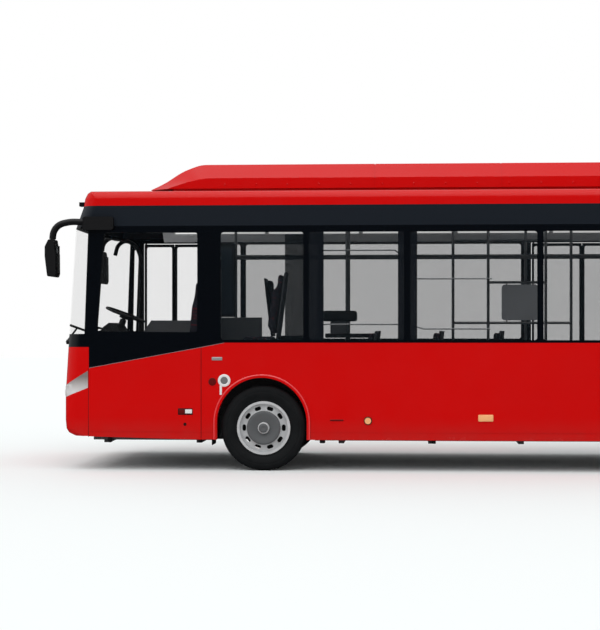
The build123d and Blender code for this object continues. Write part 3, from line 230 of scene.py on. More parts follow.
TINT = 0.225              # share of the light that one face of a tinted pane stops
CLEAR = 0.055
CAB_GLASS_END = -4.30     # Y, behind the driver's window
FRIT_Y = ((-3.150, -2.983), (-2.154, -1.941))      # beside two pillars of the left side
FRIT_ALPHA = 0.93
TINT_GREY = (0.012, 0.017, 0.021)
FRIT_BLACK = (0.006, 0.008, 0.011)

tinted_glass = Finish("tinted_glass", TINT_GREY, 0.04, Specular_IOR_Level=0.3)
behind_cab = tinted_glass.axis("Y") > CAB_GLASS_END
right_side = tinted_glass.axis("X") < 0.0
smear = tinted_glass.noise(2.0, detail=3.0)
pane_tint = behind_cab.math("MAXIMUM", right_side)
fore_strip, aft_strip = (tinted_glass.axis("Y").between(*ends) for ends in FRIT_Y)
frit = (fore_strip + aft_strip) * (1.0 - right_side)
tinted_glass.set("Base Color", tinted_glass.blend(frit, TINT_GREY, FRIT_BLACK))
see_through = pane_tint * (TINT - CLEAR) + smear * 0.015 + CLEAR
tinted_glass.set("Alpha", see_through * (1.0 - frit) + frit * FRIT_ALPHA)
tinted_glass.set("Roughness", smear * 0.05 + 0.02)
tinted_glass.on("left_side_glass", "right_side_glass", "rear_window", "centre_door_fore_glass",
                "centre_door_aft_glass")

clear_glass = Finish("clear_glass", (0.05, 0.06, 0.06), 0.04, rough=(2.0, 0.04, 0.02), Alpha=CLEAR,
                     Specular_IOR_Level=0.3)
clear_glass.on("windscreen", "front_door_fore_glass", "front_door_aft_glass")


# ---------------- chassis and axles
# The ladder frame, its outriggers, the axle beams, knuckles and motor casing are steel and castings in
# one satin black chassis coat, thick and slightly orange-peeled, with dust that has settled from the road.

CHASSIS_BLACK = (0.020, 0.020, 0.023)
ROAD_DUST = (0.060, 0.055, 0.050)

chassis_black = Finish("chassis_black", CHASSIS_BLACK, 0.5, Specular_IOR_Level=0.3)
dust = chassis_black.noise(7.0, detail=5.0)
chassis_black.set("Base Color", chassis_black.blend(dust * 0.5, CHASSIS_BLACK, ROAD_DUST))
chassis_black.set("Roughness", dust * 0.35 + 0.35)
chassis_black.bump(chassis_black.noise(120.0, detail=4.0), 0.25)
chassis_black.on("front_axle", "rear_axle", "left_knuckle", "right_knuckle", "underframe", "drive_motor")


# ---------------- tyres
# Tubeless radials, 275 mm wide. Moulded rubber: a ribbed tread with four grooves, round shoulders, a plain
# sidewall with two raised rings and a bead that disappears under the rim flange. The section is laid out
# as a ring of points and spun about the axle.

TYRE_R = 0.4785
TYRE_HALF = 0.1375
BEAD_R = 0.2845
GROOVE_DEPTH = 0.011
GROOVES = (-0.072, -0.025, 0.025, 0.072)
GROOVE_HALF = 0.0055


def tyre_section():
    """The section as (across, radius) points: one sidewall, the tread, and the sidewall mirrored."""
    side = [(0.096, BEAD_R), (0.1038, BEAD_R + 0.002), (0.1040, 0.2985), (0.1080, 0.3070), (0.1150, 0.3110),
            (0.1170, 0.3180), (0.1150, 0.3220), (0.1235, 0.3400), (0.1325, 0.3650), (0.1372, 0.3880),
            (0.1375, 0.4000), (0.1350, 0.4060), (0.1362, 0.4090), (0.1345, 0.4280), (0.1270, 0.4500),
            (0.1190, 0.4640), (0.1100, 0.4725), (0.0990, 0.4765)]
    tread = []
    for middle in reversed(GROOVES):
        crown = TYRE_R - 0.0016 * (middle / TYRE_HALF) ** 2
        tread += [(middle + GROOVE_HALF, crown), (middle + GROOVE_HALF * 0.6, crown - GROOVE_DEPTH),
                  (middle - GROOVE_HALF * 0.6, crown - GROOVE_DEPTH), (middle - GROOVE_HALF, crown)]
    return side + tread + [(-across, radius) for across, radius in reversed(side)]


class Editing:
    """Edit mode on the active mesh, with all of it selected."""

    def __enter__(self):
        bpy.ops.object.mode_set(mode="EDIT")
        bpy.ops.mesh.select_all(action="SELECT")

    def __exit__(self, *error):
        bpy.ops.object.mode_set(mode="OBJECT")


def spun(name, section, steps, finish, smooth=None):
    """A closed ring of (x, radius) points spun a full turn about the X axis."""
    bpy.ops.mesh.primitive_circle_add(vertices=len(section), radius=0.1)
    piece = bpy.context.object
    piece.name = name
    for vertex, (x, radius) in zip(piece.data.vertices, section):
        vertex.co = (x, 0, radius)
    with Editing():
        bpy.ops.mesh.spin(steps=steps, angle=math.tau, center=(0, 0, 0), axis=(1, 0, 0))
        bpy.ops.mesh.select_all(action="SELECT")
        bpy.ops.mesh.remove_doubles(threshold=0.00002)
        bpy.ops.mesh.normals_make_consistent(inside=False)
    if smooth:
        bpy.ops.object.shade_smooth_by_angle(angle=math.radians(smooth))
    piece.data.materials.append(finish.material)
    return piece


def copy_at(piece, name, place, mirrored=False):
    """A copy with its own mesh, moved in it by a matrix or a shift; mirrored turns it half round first."""
    twin = piece.copy()
    twin.data = piece.data.copy()
    twin.name = name
    if mirrored:
        twin.data.transform(Matrix.Rotation(math.pi, 4, "Z"))
    twin.data.transform(place if isinstance(place, Matrix) else Matrix.Translation(place))
    bpy.context.scene.collection.objects.link(twin)
    return twin


def mounted(piece, body="root", name=None):
    """Name a piece, and give it the body that carries it."""
    if name:
        piece.name = name
    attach(piece, body)
    return piece


rubber = Finish("tyre_rubber", (0.006, 0.007, 0.008), 0.62, Specular_IOR_Level=0.12)
worn = rubber.noise(9.0, detail=4.0)
rubber.set("Base Color", rubber.blend(worn, (0.005, 0.006, 0.007), (0.012, 0.013, 0.014)))
rubber.set("Roughness", worn * 0.25 + 0.55)
rubber.bump(rubber.noise(260.0, detail=3.0), 0.12)
tyre = spun("tyre_master", tyre_section(), 96, smooth=32, finish=rubber)

for node in ("front_left_tyre", "front_right_tyre", "rear_left_tyres", "rear_right_tyres"):
    low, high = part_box(node)
    side = 1 if high.x > 0 else -1
    middle = (low + high) / 2
    outer_x = max(abs(low.x), abs(high.x)) - TYRE_HALF
    inner_x = min(abs(low.x), abs(high.x)) + TYRE_HALF
    places = [outer_x] if outer_x - inner_x < 0.01 else [outer_x, inner_x]
    for place, which in zip(places, ("", "_inner")):
        fitted = copy_at(tyre, node + which + "_ribbed", (side * place, middle.y, TYRE_R))
        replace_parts(mounted(fitted, node.replace("tyre", "wheel")), node)
bpy.data.objects.remove(tyre)


# ---------------- wheels
# Pressed steel discs welded into 22.5 inch rims, sprayed silver. The front pair carry smooth grey plastic
# nut covers and hub caps over cast brake drums; the rear pair show their ring of nuts. Covers, caps and
# drums are spun from their sections, each nut is a hexagonal bar with chamfered ends.

silver = Finish("wheel_silver", (0.42, 0.43, 0.45), 0.35, rough=(30.0, 0.25, 0.28), grain=(500.0, 0.08),
                Metallic=0.2, Specular_IOR_Level=0.3)
silver.set("Base Color", silver.blend(silver.noise(14.0, detail=4.0), (0.50, 0.51, 0.52), (0.74, 0.75, 0.76)))
silver.on("front_left_wheel", "front_right_wheel", "rear_left_wheels", "rear_right_wheels")

cover_grey = Finish("nut_cover", (0.105, 0.110, 0.115), 0.42, grain=(600.0, 0.06), Specular_IOR_Level=0.3)
cover_grey.set("Roughness", cover_grey.noise(18.0, detail=3.0) * 0.2 + 0.34)

COVER = [(1.2062, 0.0655), (1.2120, 0.0655), (1.2125, 0.0720), (1.2180, 0.1000), (1.2290, 0.1450),
         (1.2345, 0.1640), (1.2350, 0.1760), (1.2310, 0.1840), (1.2180, 0.1900), (1.2065, 0.1905),
         (1.2062, 0.1860)]
cover = spun("nut_cover_master", COVER, 72, smooth=40, finish=cover_grey)
CAP = [(1.2525, 0.001), (1.2560, 0.001), (1.2565, 0.022), (1.2590, 0.026), (1.2590, 0.034), (1.2560, 0.040),
       (1.2545, 0.052), (1.2440, 0.0625), (1.2400, 0.0625)]
cap = spun("hub_cap_master", CAP, 48, smooth=40, finish=cover_grey)
DRUM = [(1.010, 0.120), (1.130, 0.120), (1.130, 0.205), (1.122, 0.238), (1.060, 0.244), (1.010, 0.244)]
cast_black = Finish("cast_black", (0.010, 0.010, 0.011), 0.7, Specular_IOR_Level=0.15)
cast_black.bump(cast_black.noise(200.0, detail=4.0), 0.3)
drum = spun("brake_drum_master", DRUM, 48, finish=cast_black)

front_wheel_y = sum(point.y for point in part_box("front_left_tyre")) / 2
for side, body in ((1, "front_left_wheel"), (-1, "front_right_wheel")):
    for master, name in ((cover, "nut_cover"), (cap, "hub_cap"), (drum, "brake_drum")):
        fitted = copy_at(master, name + "_" + body, (0, front_wheel_y, TYRE_R), mirrored=side < 0)
        mounted(fitted, body)
for master in (cover, cap, drum):
    bpy.data.objects.remove(master)

NUTS = 10
NUT_CIRCLE_R = 0.1675
NUT_SIZE = (0.019, 0.028)      # radius over its corners, and height
STUD_SIZE = (0.010, 0.050)
DISC_FACE_X = 0.9665           # of the rear wheels, which the nuts stand on


def bar(sides, radius, length, middle):
    """A bar with this many sides along X."""
    bpy.ops.mesh.primitive_cylinder_add(vertices=sides, radius=radius, depth=length, location=middle,
                                        rotation=(0, math.pi / 2, 0))
    return bpy.context.object


def joined(name, pieces):
    """Several meshes made one, at the origin."""
    bpy.ops.object.select_all(action="DESELECT")
    for piece in pieces:
        piece.select_set(True)
    bpy.context.view_layer.objects.active = pieces[0]
    bpy.ops.object.transform_apply(location=True, rotation=True, scale=True)
    bpy.ops.object.join()
    whole = bpy.context.object
    whole.name = name
    return whole


def nut_ring(name, face_x):
    """The wheel nuts on their studs, one mesh, pointing along +X."""
    made = []
    for index in range(NUTS):
        angle = math.tau * index / NUTS
        y, z = NUT_CIRCLE_R * math.cos(angle), NUT_CIRCLE_R * math.sin(angle)
        made.append(bar(6, *NUT_SIZE, (face_x + 0.014, y, z)))
        with Editing():
            bpy.ops.mesh.bevel(offset=0.0025, segments=1)
        made.append(bar(10, *STUD_SIZE, (face_x + 0.024, y, z)))
    return joined(name, made)


nuts = nut_ring("nut_master", DISC_FACE_X)
nuts.data.materials.append(silver.material)
rear_wheel_y = sum(point.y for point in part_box("rear_left_tyres")) / 2
for side, body in ((1, "rear_left_wheels"), (-1, "rear_right_wheels")):
    fitted = copy_at(nuts, "nuts_" + body, (0, rear_wheel_y, TYRE_R), mirrored=side < 0)
    mounted(fitted, body)
bpy.data.objects.remove(nuts)


# ---------------- floor and wheel boxes
# Birch ply boards under a welded sheet of grey safety vinyl with pale flecks, which also runs up the
# wheel boxes. The CAD solids keep their shapes.

VINYL = (0.050, 0.052, 0.056)
VINYL_FLECK = (0.16, 0.165, 0.17)

vinyl = Finish("safety_vinyl", VINYL, 0.6, grain=(300.0, 0.2, 0.0006), Specular_IOR_Level=0.25)
flecked = vinyl.noise(210.0, detail=1.0) > 0.62
vinyl.set("Base Color", vinyl.blend(flecked, VINYL, VINYL_FLECK))
vinyl.set("Roughness", vinyl.noise(9.0, detail=4.0) * 0.2 + 0.5)
vinyl.on("floor", "wheel_boxes")


# ---------------- passenger seats
# Moulded grey shells on steel pedestals, with padded squabs and high backs in dark woven cloth. Each pad
# is a closed grid blown up by a short cloth simulation, capped and smoothed, then shaped with a narrower
# head and raised sides. One seat is made and copied to every place. The handrails share its steel.

SEAT_RISE = 0.43
LEAN = math.radians(7.1)
PAD_SWELL = 0.011
BOLSTER = 0.085           # how far the back's sides stand forwards
BACK_HEIGHT = 0.690
SHELL_HEIGHT = 0.740


def pad(name, width, depth, thick, cells):
    """A stuffed pad lying in the XY plane, its UV map in metres."""
    bpy.ops.mesh.primitive_grid_add(x_subdivisions=cells[0], y_subdivisions=cells[1], size=1)
    piece = bpy.context.object
    piece.name = name
    with Editing():
        bpy.ops.transform.resize(value=(width, depth, 1))
        bpy.ops.mesh.extrude_region_move(TRANSFORM_OT_translate={"value": (0, 0, thick)})
        bpy.ops.mesh.select_all(action="SELECT")
        bpy.ops.mesh.normals_make_consistent(inside=False)
    blow_up(piece, PAD_SWELL)
    smooth = piece.modifiers.new("smooth", "SUBSURF")
    smooth.levels = smooth.render_levels = 1
    bpy.ops.object.modifier_apply(modifier="smooth")
    bpy.ops.object.shade_smooth()
    chart = piece.data.uv_layers.active or piece.data.uv_layers.new(name="UVMap")
    for loop in piece.data.loops:
        chart.data[loop.index].uv = piece.data.vertices[loop.vertex_index].co.xy
    return piece


def blow_up(piece, cap):
    """Inflate a closed mesh with Cloth and hold every point within cap of where it was."""
    before = [vertex.co.copy() for vertex in piece.data.vertices]
    cloth = piece.modifiers.new("Cloth", "CLOTH")
    cloth.settings.quality = 4
    cloth.settings.use_pressure = True
    cloth.settings.uniform_pressure_force = 4.0
    cloth.settings.effector_weights.gravity = 0.0
    for tick in range(1, 16):
        bpy.context.scene.frame_set(tick)
    bpy.ops.object.modifier_apply(modifier="Cloth")
    for vertex, start in zip(piece.data.vertices, before):
        move = vertex.co - start
        if move.length > cap:
            vertex.co = start + move * (cap / move.length)
    bpy.context.scene.frame_set(1)


def narrowed(vertex, up, start, span, share):
    """Draw a backrest's point in where its head is; gives 0 below the head and 1 at full effect."""
    head = max(0.0, min(1.0, (up - start) / span))
    vertex.co.x *= 1.0 - share * head * head * (3 - 2 * head)
    return head


def slab(size, middle, round_by, finish, segments=3):
    """A box with all its edges rounded."""
    bpy.ops.mesh.primitive_cube_add(size=1)
    piece = bpy.context.object
    with Editing():
        bpy.ops.transform.resize(value=size)
        bpy.ops.mesh.bevel(offset=round_by, segments=segments)
    piece.data.transform(Matrix.Translation(middle))
    piece.data.materials.append(finish.material)
    bpy.ops.object.shade_smooth_by_angle(angle=math.radians(35))
    return piece


cloth_dark = Finish("seat_fabric", (0.012, 0.013, 0.02), 0.9, Specular_IOR_Level=0.15)
weave_at = cloth_dark.node("UVMap", output="UV")
weave = cloth_dark.node("TexVoronoi", output="Distance", inputs={"Vector": weave_at, "Scale": 95.0})
fleck = cloth_dark.node("TexNoise", inputs={"Vector": weave_at, "Scale": 38.0, "Detail": 1.0}) > 0.60
base = cloth_dark.blend(fleck, (0.012, 0.012, 0.018), (0.12, 0.008, 0.014))
cloth_dark.set("Base Color", cloth_dark.blend(weave, base, (0.022, 0.022, 0.03)))
cloth_dark.set("Roughness", weave * 0.2 + 0.75)
cloth_dark.bump(weave, 0.35, 0.0008)

shell_grey = Finish("seat_shell", (0.035, 0.037, 0.042), 0.45, rough=(40.0, 0.2, 0.38), grain=(900.0, 0.15))

SCREEN_Y = (-0.946, -0.520)      # where the rails hold a grey panel, on the left side
SCREEN_Z = (1.692, 2.108)
rail_steel = Finish("rail_steel", (0.10, 0.105, 0.11), 0.3, Metallic=0.6)
brushed = rail_steel.noise(60.0, stretch=(8, 8, 0.6))
rail_steel.set("Roughness", brushed * 0.25 + 0.2)
rail_steel.bump(brushed, 0.05)
screen = rail_steel.axis("Y").between(*SCREEN_Y) * rail_steel.axis("Z").between(*SCREEN_Z)
screen = screen * (rail_steel.axis("X") > 0.0)
rail_steel.set("Base Color", rail_steel.blend(screen, (0.30, 0.31, 0.32), (0.34, 0.35, 0.37)))
rail_steel.set("Metallic", 0.9 - screen * 0.9)
rail_steel.on("handrails")

squab = pad("squab", 0.405, 0.350, 0.040, (14, 12))
squab.data.transform(Matrix.Translation((0, 0.245, SEAT_RISE - 0.040)))
rest = pad("back_rest", 0.395, BACK_HEIGHT, 0.034, (12, 20))
for vertex in rest.data.vertices:
    up = vertex.co.y / BACK_HEIGHT + 0.5
    head = narrowed(vertex, up, 0.70, 0.18, 0.26)
    wing = (abs(vertex.co.x) / 0.2) ** 4 * BOLSTER * (1 - head) * min(1.0, up / 0.12)
    lumbar = 0.008 * math.exp(-((up - 0.22) / 0.14) ** 2)
    headrest = 0.010 * math.exp(-((up - 0.93) / 0.09) ** 2)
    vertex.co.z += wing + lumbar + headrest
stand = Matrix.Rotation(LEAN, 4, "X") @ Matrix.Rotation(math.pi, 4, "Z") @ Matrix.Rotation(math.pi / 2, 4, "X")
rest.data.transform(Matrix.Translation((0, 0.006, SEAT_RISE + 0.375)) @ stand)
for piece in (squab, rest):
    piece.data.materials.append(cloth_dark.material)

tray = slab((0.430, 0.420, 0.034), (0, 0.225, SEAT_RISE - 0.060), 0.014, shell_grey)
back_shell = slab((0.430, 0.020, SHELL_HEIGHT), (0, 0, 0), 0.009, shell_grey)
with Editing():
    bpy.ops.mesh.subdivide(number_cuts=3)
for vertex in back_shell.data.vertices:
    narrowed(vertex, vertex.co.z / SHELL_HEIGHT + 0.5, 0.72, 0.22, 0.22)
back_shell.data.transform(Matrix.Translation((0, -0.018, SEAT_RISE + 0.368)) @ Matrix.Rotation(LEAN, 4, "X"))
leg = slab((0.085, 0.200, 0.360), (0, 0.205, 0.182), 0.012, rail_steel)
foot = slab((0.120, 0.250, 0.010), (0, 0.205, 0.005), 0.003, rail_steel, 1)
frame_part = joined("seat_shell", [tray, back_shell, leg, foot])

FLOOR_Z = 0.40
BOX_Z = 1.062
REAR_FLOOR_Z = 0.80
SEAT_X = (0.970, 0.515)
ROWS = {1: (3.420, 4.180, 6.540, 7.300), -1: (3.420, 4.180, 4.940, 7.480)}      # stations, by side
REAR_ROWS = (9.720, 10.520)
BENCH_STATION = 11.500
seats = []      # X, station, floor height and facing of each
for side, stations in ROWS.items():
    for x in SEAT_X:
        seats += [(side * x, station, FLOOR_Z, 1) for station in stations]
        seats += [(side * x, station, REAR_FLOOR_Z, 1) for station in REAR_ROWS]
    seats += [(side * SEAT_X[0], 8.318, BOX_Z, 1), (side * SEAT_X[0], 8.538, BOX_Z, -1)]
    seats.append((side * SEAT_X[0], 2.400 if side > 0 else 2.100, BOX_Z, side))
seats += [((place - 2) * 0.470, BENCH_STATION, REAR_FLOOR_Z, 1) for place in range(5)]
FRONT_Y = -5.888      # Y of station 0, the front of the bus
for number, (x, station, floor_z, facing) in enumerate(seats):
    turn = Matrix.Rotation(math.pi if facing > 0 else 0.0, 4, "Z")
    spot = Matrix.Translation((x, FRONT_Y + station, floor_z)) @ turn
    for master, name, slot in ((squab, "squab", "seat_fabric"), (rest, "back", "seat_fabric"),
                               (frame_part, "shell", "grey_trim")):
        fitted = copy_at(master, f"passenger_seat_{number:02d}_{name}", spot)
        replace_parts(mounted(fitted), "passenger_seats")
for master in (squab, rest, frame_part):
    bpy.data.objects.remove(master)


# ---------------- driver's cab
# Dashboard, cab floor, low door and screen are moulded in grained grey plastic; the screen behind the seat
# has an open window with round corners. The steering wheel has a padded black rim on three spokes.

GRAINED_GREY = (0.115, 0.120, 0.130)
DASH_BLACK = (0.016, 0.017, 0.019)
DASH_TOP_Z = 1.46
DASH_BACK_Y = -5.27

cab_plastic = Finish("cab_plastic", GRAINED_GREY, 0.5, rough=(50.0, 0.2, 0.4), grain=(800.0, 0.15, 0.0006),
                     Specular_IOR_Level=0.3)
dash_part = (cab_plastic.axis("Z") > DASH_TOP_Z) * (cab_plastic.axis("Y") < DASH_BACK_Y)
cab_plastic.set("Base Color", cab_plastic.blend(dash_part, GRAINED_GREY, DASH_BLACK))
cab_plastic.on("dashboard", "cab_partition")

rim_black = Finish("steering_black", (0.010, 0.010, 0.011), 0.5, grain=(700.0, 0.2, 0.0005),
                   Specular_IOR_Level=0.25)
rim_black.set("Roughness", rim_black.noise(90.0, detail=3.0) * 0.2 + 0.42)
rim_black.on("steering_wheel")

# The seat: a moulded pedestal with a sprung box, and pads made as the passengers' are.
DRIVER_X = 0.750
DRIVER_FOOT_Y = FRONT_Y + 1.435
CAB_FLOOR_Z = 0.820
DRIVER_BACK_HEIGHT = 0.80
driver_squab = pad("driver_squab", 0.500, 0.470, 0.085, (16, 14))
driver_squab.data.transform(Matrix.Translation((DRIVER_X, DRIVER_FOOT_Y - 0.245, CAB_FLOOR_Z + 0.415)))
driver_back = pad("driver_back", 0.470, DRIVER_BACK_HEIGHT, 0.085, (14, 22))
for vertex in driver_back.data.vertices:
    head = narrowed(vertex, vertex.co.y / DRIVER_BACK_HEIGHT + 0.5, 0.62, 0.22, 0.40)
    vertex.co.z += 0.018 * (abs(vertex.co.x) / 0.235) ** 3 * (1 - head)
recline = Matrix.Rotation(math.radians(-5.5), 4, "X") @ Matrix.Rotation(math.pi / 2, 4, "X")
driver_back.data.transform(Matrix.Translation((DRIVER_X, DRIVER_FOOT_Y + 0.035, CAB_FLOOR_Z + 0.910)) @ recline)
DRIVER_BASE = [      # size, distance ahead of the seat's foot, height over the floor, rounding, finish
    ((0.340, 0.330, 0.340), 0.235, 0.235, 0.030, shell_grey),
    *[((0.300, 0.290, 0.030), 0.235, 0.10 + 0.045 * fold, 0.012, rim_black) for fold in range(5)],
    ((0.390, 0.390, 0.060), 0.230, 0.030, 0.010, shell_grey),
    ((0.480, 0.440, 0.030), 0.240, 0.408, 0.012, shell_grey),
]
parts = [slab(size, (DRIVER_X, DRIVER_FOOT_Y - ahead, CAB_FLOOR_Z + up), round_by, finish)
         for size, ahead, up, round_by, finish in DRIVER_BASE]
driver_base = joined("driver_seat_base", parts)
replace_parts(mounted(driver_base), "driver_seat")
for piece in (driver_squab, driver_back):
    piece.data.materials.append(cloth_dark.material)
    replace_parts(mounted(piece), "driver_seat")


# ---------------- ceiling ducts
# Light grey moulded ducts run along both cornices, with opal light strips clipped into their sloping
# faces. The ducts are the CAD solids, each strip is a rounded box turned to the face.

DUCT_GREY = (0.72, 0.73, 0.75)
STRIP_MIDDLE = (1.0365, 2.8295)       # X and Z on the duct's sloping face
STRIP_SIZE = (0.070, 1.150, 0.012)
STRIP_PITCH = 1.200
STRIPS = 9
STRIP_FIRST_Y = -4.45
FACE_TILT = math.radians(46.7)

duct_grey = Finish("duct_grey", DUCT_GREY, 0.5, rough=(30.0, 0.2, 0.4), grain=(600.0, 0.08, 0.0005),
                   Specular_IOR_Level=0.3)
duct_grey.on("ceiling_ducts")

opal = Finish("opal_light", (0.85, 0.86, 0.86), 0.4, rough=(80.0, 0.1, 0.35), Emission_Color=(1.0, 1.0, 0.98),
              Emission_Strength=0.7)
strips = []
for side in (1, -1):
    for number in range(STRIPS):
        strip = slab(STRIP_SIZE, (0, 0, 0), 0.005, opal, 2)
        strip.data.transform(Matrix.Rotation(side * FACE_TILT, 4, "Y"))
        spot = (side * STRIP_MIDDLE[0], STRIP_FIRST_Y + number * STRIP_PITCH, STRIP_MIDDLE[1])
        strip.data.transform(Matrix.Translation(spot))
        strips.append(strip)
mounted(joined("light_strips", strips))


# ---------------- doors
# Each leaf is a black aluminium frame round a full pane, with a soft rubber nosing down its free edge and
# a brush strip along its foot. The nosings meet in the middle of the doorway when the leaves are shut.

leaf_black = Finish("leaf_black", (0.008, 0.009, 0.011), 0.3, rough=(20.0, 0.15, 0.22),
                    grain=(500.0, 0.05, 0.0005), Specular_IOR_Level=0.3)
nosing_rubber = Finish("nosing_rubber", (0.007, 0.007, 0.008), 0.7, grain=(400.0, 0.2, 0.0005),
                       Specular_IOR_Level=0.15)

NOSING = 0.0035           # how far the rubber stands out of the leaf's edge
LEAF_X = (-1.267, -1.229)
for leaf, free_end in (("front_door_fore", 1), ("front_door_aft", -1),
                       ("centre_door_fore", 1), ("centre_door_aft", -1)):
    leaf_black.on(leaf + "_leaf")
    low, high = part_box(leaf + "_leaf")
    nosing_y = (high.y if free_end > 0 else low.y) + free_end * (NOSING - 0.006)
    nosing = slab((LEAF_X[1] - LEAF_X[0] - 0.012, 0.012, 2.20), (sum(LEAF_X) / 2, nosing_y, 1.55), 0.003,
                  nosing_rubber, 2)
    brush = slab((0.010, high.y - low.y - 0.06, 0.030), (LEAF_X[0] + 0.012, (low.y + high.y) / 2, 0.425), 0.002,
                 nosing_rubber, 1)
    mounted(joined(leaf + "_seals", [nosing, brush]), leaf)


# ---------------- lamps
# Headlamps are clear mouldings over pressed bowls. The tail lamps are red lenses with silvered bezels on
# them, and the clearance lamps are amber buttons in rubber rings along the skirts, and dark ones on the
# roof. Bowls, bezels and rings are spun from their sections.

LENS_PAINTED_LIGHT_Z = (0.88, 1.05)      # painted highlight and shade: the lens turns from painted white low down to painted brown-grey higher up between these heights
LENS_PAINTED_HIGHLIGHT = (1.0, 1.0, 1.0)
LENS_PAINTED_SHADE = (0.34, 0.29, 0.27)
lens = Finish("headlamp_lens", (0.90, 0.90, 0.90), 0.06, rough=(6.0, 0.05, 0.03), Alpha=0.58,
              Specular_IOR_Level=0.5)
# The lens's colour is painted light: a white highlight low down and brown-grey shade higher up.
lens.set("Base Color", lens.blend(lens.ramp(lens.axis("Z"), *LENS_PAINTED_LIGHT_Z), LENS_PAINTED_HIGHLIGHT, LENS_PAINTED_SHADE))
lens.on("headlamps")
tray_silver = Finish("lamp_tray", (0.88, 0.88, 0.89), 0.25, rough=(25.0, 0.2, 0.15), Metallic=0.2)

red_lens = Finish("red_lens", (0.22, 0.002, 0.003), 0.12, Specular_IOR_Level=0.4)
prisms = red_lens.node("TexWave", settings={"bands_direction": "Z"},
                       inputs={"Vector": red_lens.place(), "Scale": 45.0})
red_lens.set("Roughness", prisms * 0.15 + 0.08)
red_lens.bump(prisms, 0.3, 0.0010)
red_lens.on("tail_lamps")

AMBER = (0.92, 0.46, 0.20)
LAMP_HOUSING = (0.006, 0.006, 0.008)
ROOF_LAMP_FOOT_Z = 2.9
amber_lens = Finish("amber_lens", AMBER, 0.2, Specular_IOR_Level=0.4)
rings = amber_lens.noise(160.0)
amber_lens.set("Roughness", rings * 0.2 + 0.12)
amber_lens.bump(rings, 0.3, 0.0006)
over_screen = amber_lens.axis("Z") > ROOF_LAMP_FOOT_Z
amber_lens.set("Base Color", amber_lens.blend(over_screen, AMBER, LAMP_HOUSING))
amber_lens.on("marker_lamps")

BOWL = [(0.000, 0.004), (0.030, 0.030), (0.048, 0.052), (0.050, 0.060), (0.044, 0.062), (0.024, 0.040),
        (-0.008, 0.004)]
bowl = spun("lamp_bowl", BOWL, 40, smooth=40, finish=tray_silver)
HEADLAMP_BOWLS = [(0.815, -5.925, 0.872), (0.960, -5.915, 0.876), (1.095, -5.880, 0.884)]
bowls = []
for side in (1, -1):
    for x, y, z in HEADLAMP_BOWLS:
        faced = Matrix.Translation((side * x, y, z)) @ Matrix.Rotation(-math.pi / 2, 4, "Z")
        bowls.append(copy_at(bowl, "bowl", faced))
bpy.data.objects.remove(bowl)
mounted(joined("headlamp_bowls", bowls))

BEZEL = [(-0.006, 0.034), (0.003, 0.036), (0.005, 0.041), (0.003, 0.046), (-0.006, 0.048)]
bezel = spun("lamp_bezel", BEZEL, 40, finish=tray_silver)
TAIL_LAMP_X = 1.090
TAIL_LAMP_Z = (0.905, 1.070, 1.235)
BEHIND_Y = 7.0
bezels = []
for side in (1, -1):
    for z in TAIL_LAMP_Z:
        behind = (side * TAIL_LAMP_X, BEHIND_Y, z)
        _, spot, out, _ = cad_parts["tail_lamps"].ray_cast(behind, (0.0, -1.0, 0.0))
        turn = out.to_track_quat("X", "Z").to_matrix().to_4x4()
        bezels.append(copy_at(bezel, "bezel", Matrix.Translation(spot) @ turn))
bpy.data.objects.remove(bezel)
mounted(joined("tail_lamp_bezels", bezels))

SIDE_LAMPS = [(3.400, 0.566), (4.660, 0.600), (7.600, 0.600), (10.800, 0.600)]      # station and height
OBLONG_LAMP = 1      # on the left side this one is an oblong marker, without a ring
LAMP_RING = [(1.2745, 0.0365), (1.2840, 0.0365), (1.2860, 0.0390), (1.2850, 0.0440), (1.2745, 0.0460)]
ring = spun("lamp_ring", LAMP_RING, 32, finish=nosing_rubber)
side_rings = []
for side in (1, -1):
    for number, (station, z) in enumerate(SIDE_LAMPS):
        if side > 0 and number == OBLONG_LAMP:
            continue
        side_rings.append(copy_at(ring, "ring", (0, FRONT_Y + station, z), mirrored=side < 0))
bpy.data.objects.remove(ring)
mounted(joined("side_lamp_rings", side_rings))


# ---------------- small parts on the left side
# A coolant cap, a filler cap in a white ring with its latch, a side repeater, a grip and a lock by the
# driver's place, and a reflector and an oblong marker on the skirt. They are moulded or cast parts set
# flush into the panel: rounded boxes, or rounds spun from a section.

SIDE_X = 1.275


def on_side(name, station, z, width, height, proud, corner, finish):
    """A flat rounded fitting let into the left side panel."""
    piece = slab((proud * 2, width, height), (SIDE_X, FRONT_Y + station, z), corner, finish)
    mounted(piece, name=name)


def cap_on_side(name, station, z, section, finish):
    """A round fitting spun from (height over the panel, radius) points."""
    piece = spun(name, [(SIDE_X + out, radius) for out, radius in section], 40, smooth=40, finish=finish)
    piece.data.transform(Matrix.Translation((0, FRONT_Y + station, z)))
    mounted(piece)


fitting_silver = Finish("fitting_silver", (0.50, 0.51, 0.52), 0.3, rough=(60.0, 0.2, 0.22), Metallic=0.5)
fitting_grey = Finish("fitting_grey", (0.16, 0.165, 0.17), 0.45, grain=(500.0, 0.1, 0.0004))
fitting_black = Finish("fitting_black", (0.006, 0.006, 0.007), 0.5, grain=(500.0, 0.15, 0.0005),
                       Specular_IOR_Level=0.2)
dark_red = Finish("cap_red", (0.13, 0.002, 0.002), 0.3, grain=(400.0, 0.05, 0.0004), Specular_IOR_Level=0.3)
white_paint = Finish("white_paint", (0.80, 0.80, 0.80), 0.35, grain=(300.0, 0.04, 0.0004))

